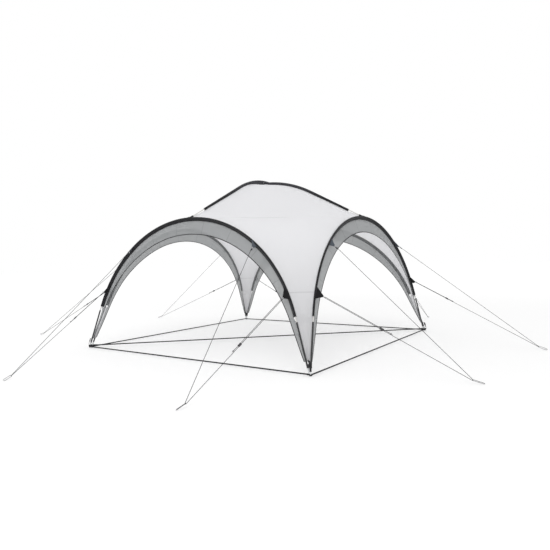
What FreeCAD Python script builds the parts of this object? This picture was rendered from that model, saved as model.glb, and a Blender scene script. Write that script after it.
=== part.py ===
import FreeCAD, Part
import math
import os

# Tarp shelter: a square canopy on four corner-to-corner arches and two crossed
# roof poles, held down by eight guy sets. Millimetres, +Z up, origin on the
# ground under the centre. Side 0 faces -Y, and each next side is a quarter
# turn anticlockwise from above. A corner carries the number of the side whose
# right-hand arch foot stands on it.

V = FreeCAD.Vector
ORIGIN = V(0, 0, 0)
Z = V(0, 0, 1)
SIDES = ("front", "right", "back", "left")
CORNERS = ("near", "right", "far", "left")
RIGHT_HAND = 1
LEFT_HAND = -1
HAND_NAMES = {LEFT_HAND: "left", RIGHT_HAND: "right"}

# ---- frame ----
HALF = 1750.0  # from the centre to the line of a side's feet
ARCH_SHIFT = -20.0  # each arch stands this far along its side, so two feet fit at a corner
LEG_RUN = 612.0  # straight lower end of an arch
LEG_LEAN = math.radians(18.75)  # of that end from upright, in the arch's plane
ARCH_TILT = 6.78  # of the arch's plane, inwards, in degrees
POLE_R = 6.35  # fibreglass rod
FIT = 0.3  # play round a rod in a socket or sleeve
LEG_TUBE_R = 9.5
LEG_BORE_R = 8.2
LEG_TUBE_LOW = 82.0  # along the leg, from the ground
LEG_TUBE_TOP = 553.0
SOCKET_DEPTH = 100.0  # of the rod in the top of the steel tube
# Slope and straight ends of the front-to-back roof pole, which is the upper one, and
# of the other.
ROOF_RISES = (math.radians(26.1), math.radians(27.2))
ROOF_STRAIGHTS = (1080.0, 860.0)
ROOF_END_GAP = 30.0  # from the arch's rod to the end of a roof pole
POCKET_R = 11.5  # cup for a roof pole's end
POCKET_LOW = 16.0  # from the arch's rod to the cup's closed end
POCKET_LONG = 46.0
SADDLE_T = 4.9
SADDLE_LONG = 46.0  # of the cup's saddle, along the arch

# ---- sleeves and canopy ----
SLEEVE_R = 11.0
SLEEVE_FLAP = 31.0  # depth of the sewn flap inside the arch
FLAP_R = 4.0
ROOF_SLEEVE_R = 10.5
ROOF_FLAP = 26.0
ROOF_FLAP_R = 4.0
ROOF_SLEEVE_SHORTS = (260.0, 205.0)  # each stops this far from the arch
RIDGE_SHORT = 205.0  # the cloth's ridge leaves the roof poles this far from the arch
SHEET = 3.0  # thickness of a fabric solid
SHEET_OFFSET = 14.0  # from a rod's axis to the canopy's edge
CANOPY_FOOT = 150.0  # along the leg, where the canopy's corner ends
SEAM_ARC = 0.012  # the top seam ends this share of the arch's half short of the top
LEG_HOLLOW = 0.08  # inward sag of a leg panel, as a share of its width
SEAM_HOLLOW = 0.03
ROOF_HOLLOW = 0.03
VALANCE_DEPTH = 195.0  # below the rod, at the top of the arch
VALANCE_POWER = 1.9
VALANCE_FOOT = 150.0  # along the leg, where the valance runs out
VALANCE_CLEAR = (11.0, 27.0)  # from the leg's axis to it there, and at the leg's top
BINDING = 7.0
BINDING_GAP = 0.4
EDGE_STEPS = 9
ROOF_DROP = 38.0  # from a roof pole's axis to the cloth under its sleeve
CROWN_HALF = 90.0
CROWN_BLEND = 450.0  # from the centre to where each ridge follows its own pole
CROWN_LIFT = 2.0
GORE_TIP = 45.0  # each roof gore stops this far from the centre, under the crown patch
SEAM_GAP = 3.0
RIDGE_JOIN_STEPS = 3  # rows of the cloth between the arches' seam and the ridges
ROW_STEPS = 6  # of the cloth's smooth surfaces, across and along
LEG_STEPS = 9
GORE_STEPS = 12

# ---- feet, straps and buckles ----
TIP_SPIGOT = 30.0
TIP_COLLAR_R = 11.0
TIP_BODY_R = 8.0
TIP_NECK_R = 6.0
TIP_NECK_TOP = 44.0  # these four along the leg, from the ground
TIP_BODY_LOW = 50.0
TIP_BODY_TOP = 68.0
TIP_COLLAR_LOW = 71.0
BALL_R = 9.0
BALL_Z = 8.0  # height of the ball's middle, so a small flat meets the ground
WEB = 22.0  # width of the corner straps' webbing
GROUND_WEB = 15.0  # and of the ground straps'
WEB_T = 1.8
LOOP_R = 12.0  # inside of a ground strap's end loop
STRAP_LOW = 11.0  # lower edge of a side strap
CROSS_LOW = 28.0  # lower edge of the diagonal strap
CROSS_LOOP_R = 34.0
BUCKLE = (38.0, 6.0, 42.0)
BUCKLE_ROUND = 2.5
BUCKLE_SLOTS = (-11.0, 0.0, 11.0)  # heights of its slots' middles
SLOT = 6.0
BUCKLE_Z = 98.0
BUCKLE_OUT = 37.2  # outside the legs' middle
STRAP_DROP = 60.0  # from the buckle's middle to the strap's sewn lower end

# ---- guy sets ----
LOWER_Z = 815.0  # height of the lower and upper patches on the arch
UPPER_Z = 1350.0
LOWER_PATCH = (78.0, 88.0)  # half base along the arch, reach of the tip
UPPER_PATCH = (52.0, 72.0)
PATCH_T = 2.4
PATCH_TIP_HALF = 7.0
PATCH_HOLE_IN = 4.0  # from the tip to the middle of the ring's hole
RING_R = 11.0
RING_WIRE = 2.25
CORD_R = 2.5
TURN_R = 5.0  # of the cord's centreline round a ring or loop
PEG_LOOP_R = 9.0
PEG_LOOP_WIRE = 2.25
PEG_LOOP_LONG = 105.0
PEG_Z = 9.0  # height of its outer end
EYE_Z = 34.0  # height of a peg loop's inner end
RUNNER = (42.0, 23.0, 11.0)
RUNNER_HOLE_R = 2.9
RUNNER_ROUND = 2.5
TAIL = 100.0  # of cord past the middle of a runner
KNOT = (16.0, 8.8)  # length and radius
KNOT_ROUND = 0.3  # chamfer at a knot's ends, as a share of its radius
STOP_KNOT_R = 6.6
EYE_END = 30.0  # from the upper ring to the end of the cord's sewn eye
WHIPPING_AT = 22.0
# Where each guy set's peg loop ends on the ground, and how far down its lower
# line the runner sits, by side and hand.
PEGS = {
    (0, LEFT_HAND): (-854.0, -3407.0, 0.36),
    (0, RIGHT_HAND): (1400.0, -3250.0, 0.50),
    (1, LEFT_HAND): (3262.0, -1269.0, 0.415),
    (1, RIGHT_HAND): (3545.0, 785.0, 0.29),
    (2, LEFT_HAND): (1300.0, 3430.0, 0.34),
    (2, RIGHT_HAND): (-1300.0, 3430.0, 0.34),
    (3, LEFT_HAND): (-3648.0, 1253.0, 0.27),
    (3, RIGHT_HAND): (-3641.0, -1336.0, 0.29),
}

# ---- worked out from them ----
ARC_X = HALF - LEG_RUN * math.sin(LEG_LEAN)
ARC_Z = LEG_RUN * math.cos(LEG_LEAN)
ARC_R = ARC_X / math.cos(LEG_LEAN)
ARC_MID = V(0, 0, ARC_Z - ARC_R * math.sin(LEG_LEAN))
ARC_TURN = math.pi / 2 - LEG_LEAN
ARC_LONG = ARC_R * ARC_TURN
HALF_ARCH = ARC_LONG + LEG_RUN


def save(name, shapes):
    """One STEP file of a sub-part's solids."""
    solids = [solid for shape in shapes for solid in shape.Solids]
    shape = solids[0] if len(solids) == 1 else Part.makeCompound(solids)
    bad = [solid for solid in solids if not solid.isValid() or solid.Volume <= 0]
    print(name, len(solids), "solids", round(shape.Volume / 1000, 2), "cm3", "BAD" if bad else "")
    shape.exportStep("parts/" + name + ".step")


def rounded(vector, places):
    return [round(c, places) for c in vector]


def above_ground(shape):
    """The part of a shape over the ground plane."""
    return shape.cut(Part.makeBox(4 * HALF, 4 * HALF, HALF, V(-2 * HALF, -2 * HALF, -HALF)))


def quarter(shape, side):
    """The shape turned from side 0 to another side."""
    turned = shape.copy()
    turned.rotate(ORIGIN, Z, 90 * side)
    return turned


def arch_placement(side):
    stand = FreeCAD.Placement(V(ARCH_SHIFT, -HALF, 0), FreeCAD.Rotation(V(1, 0, 0), -ARCH_TILT))
    return FreeCAD.Placement(ORIGIN, FreeCAD.Rotation(Z, 90 * side)) * stand


def on_arch(shape, side):
    """A shape drawn in the upright X-Z plane, set in a side's arch plane."""
    return shape.transformed(arch_placement(side).toMatrix())


def arch_flat(side_x, long):
    """Centreline point, tangent to the top and outward normal, `long` up from a foot."""
    if long < LEG_RUN:
        turn = ARC_TURN
        point = V(HALF - long * math.sin(LEG_LEAN), 0, long * math.cos(LEG_LEAN))
    else:
        turn = (HALF_ARCH - long) / ARC_R
        point = ARC_MID + V(math.sin(turn), 0, math.cos(turn)) * ARC_R
    normal = V(math.sin(turn), 0, math.cos(turn))
    tangent = V(-math.cos(turn), 0, math.sin(turn))
    for vector in (point, normal, tangent):
        vector.x *= side_x
    return point, tangent, normal


def arch_point(side, hand, long, inward=0.0):
    """A point on a side's arch, moved `inward` square to the arch's plane."""
    point = arch_flat(hand, long)[0]
    return arch_placement(side).multVec(point + V(0, inward, 0))


def arch_tangent(side, hand, long):
    return arch_placement(side).Rotation.multVec(arch_flat(hand, long)[1])


def long_at_height(height):
    """How far up an arch, along its rod, a height is."""
    level = height / math.cos(math.radians(ARCH_TILT))
    if level < ARC_Z:
        return level / math.cos(LEG_LEAN)
    return HALF_ARCH - ARC_R * math.acos((level - ARC_MID.z) / ARC_R)


def teardrop(at, out, across, r, flap, flap_r):
    """Face of a rod pocket: a round of radius r with a flap that narrows away from `out`."""
    lean = math.acos((r - flap_r) / flap)
    big, small = [], []
    for angle in (-(math.pi - lean), 0.0, math.pi - lean):
        ray = out * math.cos(angle) + across * math.sin(angle)
        big.append(at + ray * r)
    for angle in (math.pi - lean, math.pi, -(math.pi - lean)):
        ray = out * math.cos(angle) + across * math.sin(angle)
        small.append(at - out * flap + ray * flap_r)
    edges = [Part.Arc(*big).toShape(), Part.LineSegment(big[2], small[0]).toShape()]
    edges += [Part.Arc(*small).toShape(), Part.LineSegment(small[2], big[0]).toShape()]
    return Part.Face(Part.Wire(edges))


def disc(at, axis, r):
    return Part.Face(Part.Wire(Part.makeCircle(r, at, axis)))


def rod(start, end, r):
    return Part.makeCylinder(r, (end - start).Length, start, end - start)


def arc_sweep(face, mid, degrees):
    """A face swept round an axis along Y."""
    return face.revolve(mid, V(0, 1, 0), degrees)


def one_solid(shapes):
    joined = shapes[0].multiFuse(shapes[1:]) if len(shapes) > 1 else shapes[0]
    return joined.removeSplitter()


def arch_pole():
    """One bent fibreglass rod, between the sockets of its two steel legs."""
    start = arch_flat(LEFT_HAND, LEG_RUN)[0]
    section = disc(start, arch_flat(LEFT_HAND, LEG_RUN)[1], POLE_R)
    bow = arc_sweep(section, ARC_MID, math.degrees(2 * ARC_TURN))
    ends = []
    for hand in (LEFT_HAND, RIGHT_HAND):
        low = arch_flat(hand, LEG_TUBE_TOP - SOCKET_DEPTH)[0]
        ends.append(rod(low, arch_flat(hand, LEG_RUN)[0], POLE_R))
    return one_solid([bow] + ends)


def arch_sleeve():
    """Pocket for the arch's rod, with its flap inside the bow."""
    start, tangent, normal = arch_flat(LEFT_HAND, LEG_RUN)
    degrees = math.degrees(2 * ARC_TURN)
    outer = teardrop(start, normal, V(0, 1, 0), SLEEVE_R, SLEEVE_FLAP, FLAP_R)
    bore = disc(start, tangent, POLE_R + FIT)
    return arc_sweep(outer, ARC_MID, degrees).cut(arc_sweep(bore, ARC_MID, degrees))


def leg_tube(hand):
    """Steel lower leg, with a narrow socket at its top."""
    low = arch_flat(hand, LEG_TUBE_LOW)[0]
    top = arch_flat(hand, LEG_TUBE_TOP)[0]
    step = arch_flat(hand, LEG_TUBE_TOP - SOCKET_DEPTH)[0]
    tube = rod(low, top, LEG_TUBE_R)
    return tube.cut(rod(low, step, LEG_BORE_R)).cut(rod(step, top, POLE_R + FIT))


def foot_tip(hand):
    """Turned foot: spigot in the tube, collar, body, neck for the straps and a ball."""
    ball_long = BALL_Z / math.cos(LEG_LEAN) / math.cos(math.radians(ARCH_TILT))
    top = LEG_TUBE_LOW + TIP_SPIGOT
    profile = [(0.0, ball_long), (TIP_NECK_R, ball_long), (TIP_NECK_R, TIP_NECK_TOP)]
    profile += [(TIP_BODY_R, TIP_BODY_LOW), (TIP_BODY_R, TIP_BODY_TOP), (TIP_COLLAR_R, TIP_COLLAR_LOW)]
    profile += [(TIP_COLLAR_R, LEG_TUBE_LOW), (LEG_BORE_R, LEG_TUBE_LOW), (LEG_BORE_R, top), (0.0, top)]
    outline = Part.makePolygon([V(r, 0, long) for r, long in profile] + [V(0, 0, ball_long)])
    tip = Part.Face(outline).revolve(ORIGIN, Z, 360)
    tip = tip.fuse(Part.makeSphere(BALL_R, V(0, 0, ball_long))).removeSplitter()
    tip.rotate(ORIGIN, V(0, 1, 0), -hand * math.degrees(LEG_LEAN))
    tip.translate(V(hand * HALF, 0, 0))
    return tip


class RoofLine:
    """Centreline of a roof pole, from one arch's top to the opposite one's."""

    def __init__(self, rise, straight):
        ends = [arch_point(side, RIGHT_HAND, HALF_ARCH) for side in (0, 2)]
        self.half = (ends[1] - ends[0]).Length / 2
        self.turn = math.degrees(math.atan2(ends[1].y - ends[0].y, ends[1].x - ends[0].x))
        self.rise = rise
        self.low = ends[0].z
        self.knee_x = self.half - straight * math.cos(rise)
        self.knee_z = self.low + straight * math.sin(rise)
        self.r = self.knee_x / math.sin(rise)
        self.mid = V(0, 0, self.knee_z - self.r * math.cos(rise))

    def at(self, out, drop=0.0):
        """Point `out` from the centre along +X, `drop` below the axis and square to it."""
        if out > self.knee_x:
            point = V(out, 0, self.knee_z - (out - self.knee_x) * math.tan(self.rise))
            normal = V(math.sin(self.rise), 0, math.cos(self.rise))
        else:
            turn = math.asin(out / self.r)
            normal = V(math.sin(turn), 0, math.cos(turn))
            point = self.mid + normal * self.r
        return point - normal * drop

    def sweep(self, face_at, end):
        """A section swept from `end` short of one arch to the same on the other side."""
        tail = V(self.half, 0, self.low) + V(-math.cos(self.rise), 0, math.sin(self.rise)) * end
        knee = V(self.knee_x, 0, self.knee_z)
        normal = V(math.sin(self.rise), 0, math.cos(self.rise))
        pieces = [arc_sweep(face_at(knee, normal), self.mid, -2 * math.degrees(self.rise))]
        right = face_at(tail, normal).extrude(knee - tail)
        pieces += [right, right.mirror(ORIGIN, V(1, 0, 0))]
        return one_solid(pieces)

    def place(self, shape, pair):
        turned = shape.copy()
        turned.rotate(ORIGIN, Z, self.turn + 90 * pair)
        return turned


ROOF = [RoofLine(rise, straight) for rise, straight in zip(ROOF_RISES, ROOF_STRAIGHTS)]


def along(normal):
    return V(-normal.z, 0, normal.x)


def roof_pole(pair):
    line = ROOF[pair]
    shape = line.sweep(lambda at, normal: disc(at, along(normal), POLE_R), ROOF_END_GAP)
    return line.place(shape, pair)


def roof_sleeve(pair):
    """Pocket on the ridge, stopping short of the arches so that the rod shows."""
    line = ROOF[pair]

    def pocket(at, normal):
        return teardrop(at, normal, V(0, 1, 0), ROOF_SLEEVE_R, ROOF_FLAP, ROOF_FLAP_R)

    def bore(at, normal):
        return disc(at, along(normal), POLE_R + FIT)

    short = ROOF_SLEEVE_SHORTS[pair]
    return line.place(line.sweep(pocket, short).cut(line.sweep(bore, short)), pair)


def crossing_notch():
    """What the upper sleeve leaves free for the lower one at the crossing."""
    line = ROOF[1]
    tall = 2 * ROOF_SLEEVE_R + 2 * FIT
    box = Part.makeBox(2 * CROWN_HALF, tall, tall + ROOF_FLAP, V(-CROWN_HALF, -tall / 2, 0))
    box.translate(V(0, 0, line.at(0).z - ROOF_FLAP - ROOF_SLEEVE_R))
    return line.place(box, 1)


def apex_pocket(side):
    """Cup for a roof pole's end on a saddle over the arch's sleeve."""
    line = ROOF[side % 2]
    cup = Part.makeCylinder(POCKET_R, POCKET_LONG, V(0, 0, POCKET_LOW), Z)
    cup = cup.cut(Part.makeCylinder(POLE_R + FIT, POCKET_LONG, V(0, 0, ROOF_END_GAP - 2.0), Z))
    cup.rotate(ORIGIN, V(0, 1, 0), math.degrees(line.rise) - 90)
    cup.translate(V(line.half, 0, line.low))
    inside = SLEEVE_R + FIT
    end = V(0, -SADDLE_LONG / 2, 0)
    band = Part.makeCylinder(inside + SADDLE_T, SADDLE_LONG, end, V(0, 1, 0))
    band = band.cut(Part.makeCylinder(inside, SADDLE_LONG, end, V(0, 1, 0)))
    under = Part.makeBox(SADDLE_LONG, SADDLE_LONG, SADDLE_LONG, end - V(SADDLE_LONG / 2, 0, SADDLE_LONG))
    band = band.cut(under)
    band.translate(V(line.half, 0, line.low))
    shape = one_solid([cup, band])
    shape.rotate(ORIGIN, Z, line.turn + 180 + 90 * side)
    return shape


def thick_sheet(rows, thickness):
    """A closed solid of cloth, with its outer face through the rows."""
    outer = Part.BSplineSurface()
    outer.interpolate(rows)
    u0, u1, v0, v1 = outer.bounds()
    inner_rows = []
    for i in range(len(rows)):
        inner_rows.append([])
        for j in range(len(rows[0])):
            u = u0 + (u1 - u0) * i / (len(rows) - 1)
            v = v0 + (v1 - v0) * j / (len(rows[0]) - 1)
            down = rows[max(i - 1, 0)][j] - rows[min(i + 1, len(rows) - 1)][j]
            over = rows[i][min(j + 1, len(rows[0]) - 1)] - rows[i][max(j - 1, 0)]
            normal = down.cross(over).normalize()
            inner_rows[-1].append(rows[i][j] - normal * thickness)
    inner = Part.BSplineSurface()
    inner.interpolate(inner_rows)
    faces = [outer.toShape(), inner.toShape()]
    for a, b in zip(faces[0].Edges, faces[1].Edges):
        faces.append(Part.makeRuledSurface(a, b))
    shell = Part.makeShell(faces)
    shell.sewShape()
    solid = Part.makeSolid(shell)
    if solid.Volume < 0:
        solid.reverse()
    return solid


def hollow_row(a, b, in_share, down_share, steps):
    """Points from a to b on a row that bows inwards and down by shares of its length."""
    wide = (b - a).Length
    middle = (a + b) * 0.5
    inward = V(-middle.x, -middle.y, 0).normalize()
    sag = inward * (in_share * wide) - Z * (down_share * wide)
    row = []
    for i in range(steps + 1):
        share = i / steps
        row.append(a + (b - a) * share + sag * (4 * share * (1 - share)))
    return row


def seam_end(side, hand):
    return arch_point(side, hand, HALF_ARCH * (1 - SEAM_ARC), SHEET_OFFSET)


def leg_panel():
    """Canopy panel over corner 0, from its narrow foot to the seam between two arch tops."""
    rows = []
    for i in range(LEG_STEPS + 1):
        t = i / LEG_STEPS
        long = CANOPY_FOOT + (HALF_ARCH * (1 - SEAM_ARC) - CANOPY_FOOT) * t
        a = arch_point(0, RIGHT_HAND, long, SHEET_OFFSET)
        b = arch_point(1, LEFT_HAND, long, SHEET_OFFSET)
        rows.append(hollow_row(a, b, LEG_HOLLOW + (SEAM_HOLLOW - LEG_HOLLOW) * t, 0.0, ROW_STEPS))
    return thick_sheet(rows, SHEET)


def turned(vector, corner):
    return FreeCAD.Rotation(Z, 90 * corner).multVec(vector)


def ridge_point(side, out):
    """A point on the cloth's ridge towards a side, `out` from the centre, under the sleeve."""
    line = ROOF[side % 2]
    share = min(out / CROWN_BLEND, 1.0)
    over = line.at(0.0).z - ROOF[1].at(0.0).z
    point = line.at(out, ROOF_DROP + over * (1 - share * share * (3 - 2 * share)))
    return FreeCAD.Rotation(Z, line.turn + 180 + 90 * side).multVec(point)


def roof_gore(corner):
    """Quarter of the roof's diamond, between two ridges, from the seam to near the crown."""
    next_side = (corner + 1) % 4
    gap_a = turned(V(SEAM_GAP, 0, 0), corner)
    gap_b = turned(V(0, -SEAM_GAP, 0), corner)
    gap_seam = turned(V(-SEAM_GAP, SEAM_GAP, 0), corner)
    seam_a = seam_end(corner, RIGHT_HAND) + gap_seam
    seam_b = seam_end(next_side, LEFT_HAND) + gap_seam
    reach = ROOF[0].half - RIDGE_SHORT
    ridge_a = ridge_point(corner, reach) + gap_a
    ridge_b = ridge_point(next_side, reach) + gap_b
    rows = []
    for i in range(RIDGE_JOIN_STEPS):
        share = i / RIDGE_JOIN_STEPS
        a = seam_a + (ridge_a - seam_a) * share
        b = seam_b + (ridge_b - seam_b) * share
        rows.append(hollow_row(a, b, SEAM_HOLLOW, 0.0, ROW_STEPS))
    for i in range(GORE_STEPS + 1):
        out = reach + (GORE_TIP - reach) * i / GORE_STEPS
        q = 1 - out / ROOF[0].half
        a = ridge_point(corner, out) + gap_a
        b = ridge_point(next_side, out) + gap_b
        in_share, down_share = SEAM_HOLLOW * (1 - q), ROOF_HOLLOW * math.sin(math.pi * q)
        rows.append(hollow_row(a, b, in_share, down_share, ROW_STEPS))
    return thick_sheet(rows, SHEET)


def crown_patch():
    """Square reinforcement over the roof's middle, under the crossed sleeves."""
    top = ROOF[1].at(0.0, ROOF_DROP).z + CROWN_LIFT
    return Part.makeBox(2 * CROWN_HALF, 2 * CROWN_HALF, 1.6, V(-CROWN_HALF, -CROWN_HALF, top))


def valance_edge(long, extra=0.0):
    """Lower edge of the valance, in the arch's plane, above a point on the leg."""
    share = min(long / HALF_ARCH, 1.0)
    depth = VALANCE_DEPTH * (1 - (1 - share) ** VALANCE_POWER)
    point, _, normal = arch_flat(RIGHT_HAND, long)
    return point - normal * (depth + extra)


def edge_curve(extra):
    """Smooth curve through the valance's lower edge, from foot to foot."""
    right = []
    for i in range(EDGE_STEPS + 1):
        long = VALANCE_FOOT + (HALF_ARCH - VALANCE_FOOT) * i / EDGE_STEPS
        right.append(valance_edge(long, extra))
    left = [V(-p.x, 0, p.z) for p in reversed(right[:-1])]
    curve = Part.BSplineCurve()
    curve.interpolate(right + left)
    return curve.toShape(), right[0], left[-1]


def slab(edges, thickness):
    """A flat piece in the arch's plane with its middle on that plane."""
    face = Part.Face(Part.Wire(Part.__sortEdges__(edges)))
    face.translate(V(0, -thickness / 2, 0))
    return face.extrude(V(0, thickness, 0))


def valance():
    """Fabric band inside the arch, deep at the top and running out at the feet."""
    lower, right_low, left_low = edge_curve(0.0)
    foot_clear, step_clear = VALANCE_CLEAR
    flap_clear = SLEEVE_FLAP + FLAP_R + 1.0
    side = []
    for hand, low in ((RIGHT_HAND, right_low), (LEFT_HAND, left_low)):
        foot, _, normal = arch_flat(hand, VALANCE_FOOT)
        step, _, _ = arch_flat(hand, LEG_RUN)
        points = [low, foot - normal * foot_clear, step - normal * step_clear, step - normal * flap_clear]
        side.append(points)
    edges = [lower]
    for points in side:
        edges += [Part.LineSegment(a, b).toShape() for a, b in zip(points, points[1:])]
    top = ARC_MID + V(0, 0, ARC_R - flap_clear)
    edges.append(Part.Arc(side[0][-1], top, side[1][-1]).toShape())
    return slab(edges, SHEET)


def valance_binding():
    """Folded tape along the valance's lower edge."""
    upper, right_up, left_up = edge_curve(BINDING_GAP)
    lower, right_low, left_low = edge_curve(BINDING_GAP + BINDING)
    right = Part.LineSegment(right_up, right_low).toShape()
    left = Part.LineSegment(left_up, left_low).toShape()
    return slab([upper, lower, right, left], BINDING)


def foot_point(side, hand, height):
    """Where the axis of an arch's leg is at a height."""
    return arch_point(side, hand, height / math.cos(LEG_LEAN) / math.cos(math.radians(ARCH_TILT)))


def web_loop(centre, r, low):
    """Webbing on edge, sewn round a foot."""
    base = V(centre.x, centre.y, low)
    outer = Part.makeCylinder(r + WEB_T, GROUND_WEB, base, Z)
    return outer.cut(Part.makeCylinder(r, GROUND_WEB, base, Z))


def edge_strap(start, end, low, start_r, end_r):
    """Webbing on edge between two end loops."""
    a = V(start.x, start.y, low)
    b = V(end.x, end.y, low)
    reach = (b - a).normalize()
    angle = math.degrees(math.atan2(reach.y, reach.x))
    long = (V(end.x, end.y, 0) - V(start.x, start.y, 0)).Length - start_r - end_r
    band = Part.makeBox(long, 2 * WEB_T, GROUND_WEB, V(0, -WEB_T, 0))
    band.rotate(ORIGIN, Z, angle)
    band.translate(a + reach * start_r)
    band = band.cut(Part.makeCylinder(start_r, GROUND_WEB, a, Z))
    band = band.cut(Part.makeCylinder(end_r, GROUND_WEB, b, Z))
    return one_solid([band, web_loop(a, start_r, low), web_loop(b, end_r, low)])


def side_strap():
    """Ground strap between the two feet of side 0's arch."""
    middle = STRAP_LOW + GROUND_WEB / 2
    left = foot_point(0, LEFT_HAND, middle)
    right = foot_point(0, RIGHT_HAND, middle)
    return edge_strap(left, right, STRAP_LOW, LOOP_R, LOOP_R)


def corner_middle(corner, height):
    """Point midway between the two legs of a corner."""
    return (foot_point(corner, RIGHT_HAND, height) + foot_point((corner + 1) % 4, LEFT_HAND, height)) * 0.5


def diagonal_strap():
    """The one strap across the floor, round both feet of two opposite corners."""
    height = CROSS_LOW + GROUND_WEB / 2
    left = corner_middle(3, height)
    right = corner_middle(1, height)
    return edge_strap(left, right, CROSS_LOW, CROSS_LOOP_R, CROSS_LOOP_R)


def framed(shape, at, x, y, z):
    """A shape drawn at the origin, set at a place with its own axes."""
    matrix = FreeCAD.Matrix(x.x, y.x, z.x, 0, x.y, y.y, z.y, 0, x.z, y.z, z.z, 0, 0, 0, 0, 1)
    placed = shape.transformed(matrix)
    placed.translate(at)
    return placed


def corner_axes(corner):
    """The buckle's place outside a corner's legs, with the directions out, across and up."""
    middle = corner_middle(corner, BUCKLE_Z)
    up = (corner_middle(corner, 2 * BUCKLE_Z) - middle).normalize()
    across = Z.cross(V(middle.x, middle.y, 0).normalize())
    out = across.cross(up)
    return middle + out * BUCKLE_OUT, out, across, up


def buckle(corner):
    """Ladder buckle in the corner's tension strap."""
    wide, thick, tall = BUCKLE
    shape = Part.makeBox(thick, wide, tall, V(-thick / 2, -wide / 2, -tall / 2))
    level_ends = [edge for edge in shape.Edges if abs(edge.Vertexes[0].X - edge.Vertexes[1].X) > 1]
    shape = shape.makeFillet(BUCKLE_ROUND, level_ends)
    for level in BUCKLE_SLOTS:
        slot = Part.makeBox(2 * thick, WEB + 2.0, SLOT, V(-thick, -WEB / 2 - 1.0, level - SLOT / 2))
        shape = shape.cut(slot)
    return framed(shape, *corner_axes(corner))


def web_piece(start, end, across):
    """Flat webbing between two points, with its width along `across`."""
    reach = end - start
    piece = Part.makeBox(WEB_T, WEB, reach.Length, V(-WEB_T / 2, -WEB / 2, 0))
    up = reach.normalize()
    return framed(piece, start, across.cross(up), across, up)


def corner_strap(corner):
    """Webbing from the canopy's corner to the buckle, and from there to the diagonal's level."""
    at, _, across, up = corner_axes(corner)
    tall = BUCKLE[2] / 2 + 3 * FIT
    foot_a = arch_point(corner, RIGHT_HAND, CANOPY_FOOT, SHEET_OFFSET)
    foot_b = arch_point((corner + 1) % 4, LEFT_HAND, CANOPY_FOOT, SHEET_OFFSET)
    cloth = (foot_a + foot_b) * 0.5 - Z * SHEET
    upper = web_piece(at + up * tall, cloth, across)
    lower = web_piece(at - up * STRAP_DROP, at - up * tall, across)
    return [upper, lower]


def upwards(vector):
    return vector if vector.z > 0 else vector * -1


class Guy:
    """Places and directions of one guy set, all in the plane of its two lines."""

    def __init__(self, side, hand):
        peg_x, peg_y, share = PEGS[(side, hand)]
        self.low_long = long_at_height(LOWER_Z)
        self.up_long = long_at_height(UPPER_Z)
        self.low = arch_point(side, hand, self.low_long)
        self.up = arch_point(side, hand, self.up_long)
        self.peg = V(peg_x, peg_y, PEG_Z)
        inward = (self.low - self.peg)
        inward.z = 0
        level = math.sqrt(PEG_LOOP_LONG**2 - (EYE_Z - self.peg.z) ** 2)
        self.eye = self.peg + inward.normalize() * level + Z * (EYE_Z - self.peg.z)
        self.side = (self.low - self.eye).cross(self.up - self.eye).normalize()
        self.low_dir = (self.eye - self.low).normalize()
        self.up_dir = (self.eye - self.up).normalize()
        past = SLEEVE_R - PATCH_HOLE_IN + 2 * RING_R
        self.low_ring = self.low + self.low_dir * (past + LOWER_PATCH[1])
        self.up_ring = self.up + self.up_dir * (past + UPPER_PATCH[1])
        self.above = upwards(self.side.cross(self.up_dir))
        self.over = upwards(self.side.cross(self.low_dir))
        self.run = (self.eye - self.low_ring).Length
        self.runner_at = self.low_ring + self.low_dir * (self.run * share)
        self.tail_end = self.runner_at + self.low_dir * TAIL + self.over * TURN_R
        self.low_tangent = arch_tangent(side, hand, self.low_long)
        self.up_tangent = arch_tangent(side, hand, self.up_long)


def cord_path(guy):
    """The cord from its sewn eye on the upper ring to its end knot, as runs and turns."""

    def turn_round(centre, first, middle, end):
        return [centre + ray * TURN_R for ray in (first, middle, end)]

    eye_end = guy.up_ring + guy.up_dir * EYE_END - guy.above * TURN_R
    back = (guy.low_dir + guy.up_dir).normalize()
    turns = [
        turn_round(guy.up_ring, guy.above * -1, guy.up_dir * -1, guy.above),
        turn_round(guy.eye, guy.above, back, guy.over * -1),
        turn_round(guy.low_ring, guy.over * -1, guy.low_dir * -1, guy.over),
    ]
    edges = []
    last = eye_end
    for turn in turns:
        edges.append(Part.LineSegment(last, turn[0]).toShape())
        edges.append(Part.Arc(*turn).toShape())
        last = turn[2]
    edges.append(Part.LineSegment(last, guy.tail_end).toShape())
    return Part.Wire(edges), eye_end


def guy_cord(guy):
    path, start = cord_path(guy)
    section = Part.Wire(Part.makeCircle(CORD_R, start, guy.up_dir))
    return path.makePipeShell([section], True, False), path.Length


def sleeve_room():
    """What an arch's sleeve takes up, with a little play."""
    start, _, normal = arch_flat(LEFT_HAND, LEG_RUN)
    outer = teardrop(start, normal, V(0, 1, 0), SLEEVE_R + FIT, SLEEVE_FLAP, FLAP_R + FIT)
    return arc_sweep(outer, ARC_MID, math.degrees(2 * ARC_TURN))


def patch(base, tangent, reach_dir, side, half_base, reach):
    """Triangle of webbing on the sleeve, with the ring's hole near its tip."""
    flat = (tangent - side * tangent.dot(side)).normalize()
    tip = base + reach_dir * (SLEEVE_R + reach)
    across = side.cross(reach_dir)
    lift = across * (PATCH_TIP_HALF if across.dot(flat) > 0 else -PATCH_TIP_HALF)
    corners = [base - flat * half_base, base + flat * half_base, tip + lift, tip - lift]
    outline = Part.makePolygon(corners + [corners[0]])
    face = Part.Face(outline)
    face.translate(side * (-PATCH_T / 2))
    solid = face.extrude(side * PATCH_T)
    hole = tip - reach_dir * PATCH_HOLE_IN - side * (2 * PATCH_T)
    return solid.cut(Part.makeCylinder(RING_WIRE + FIT, 4 * PATCH_T, hole, side))


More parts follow.
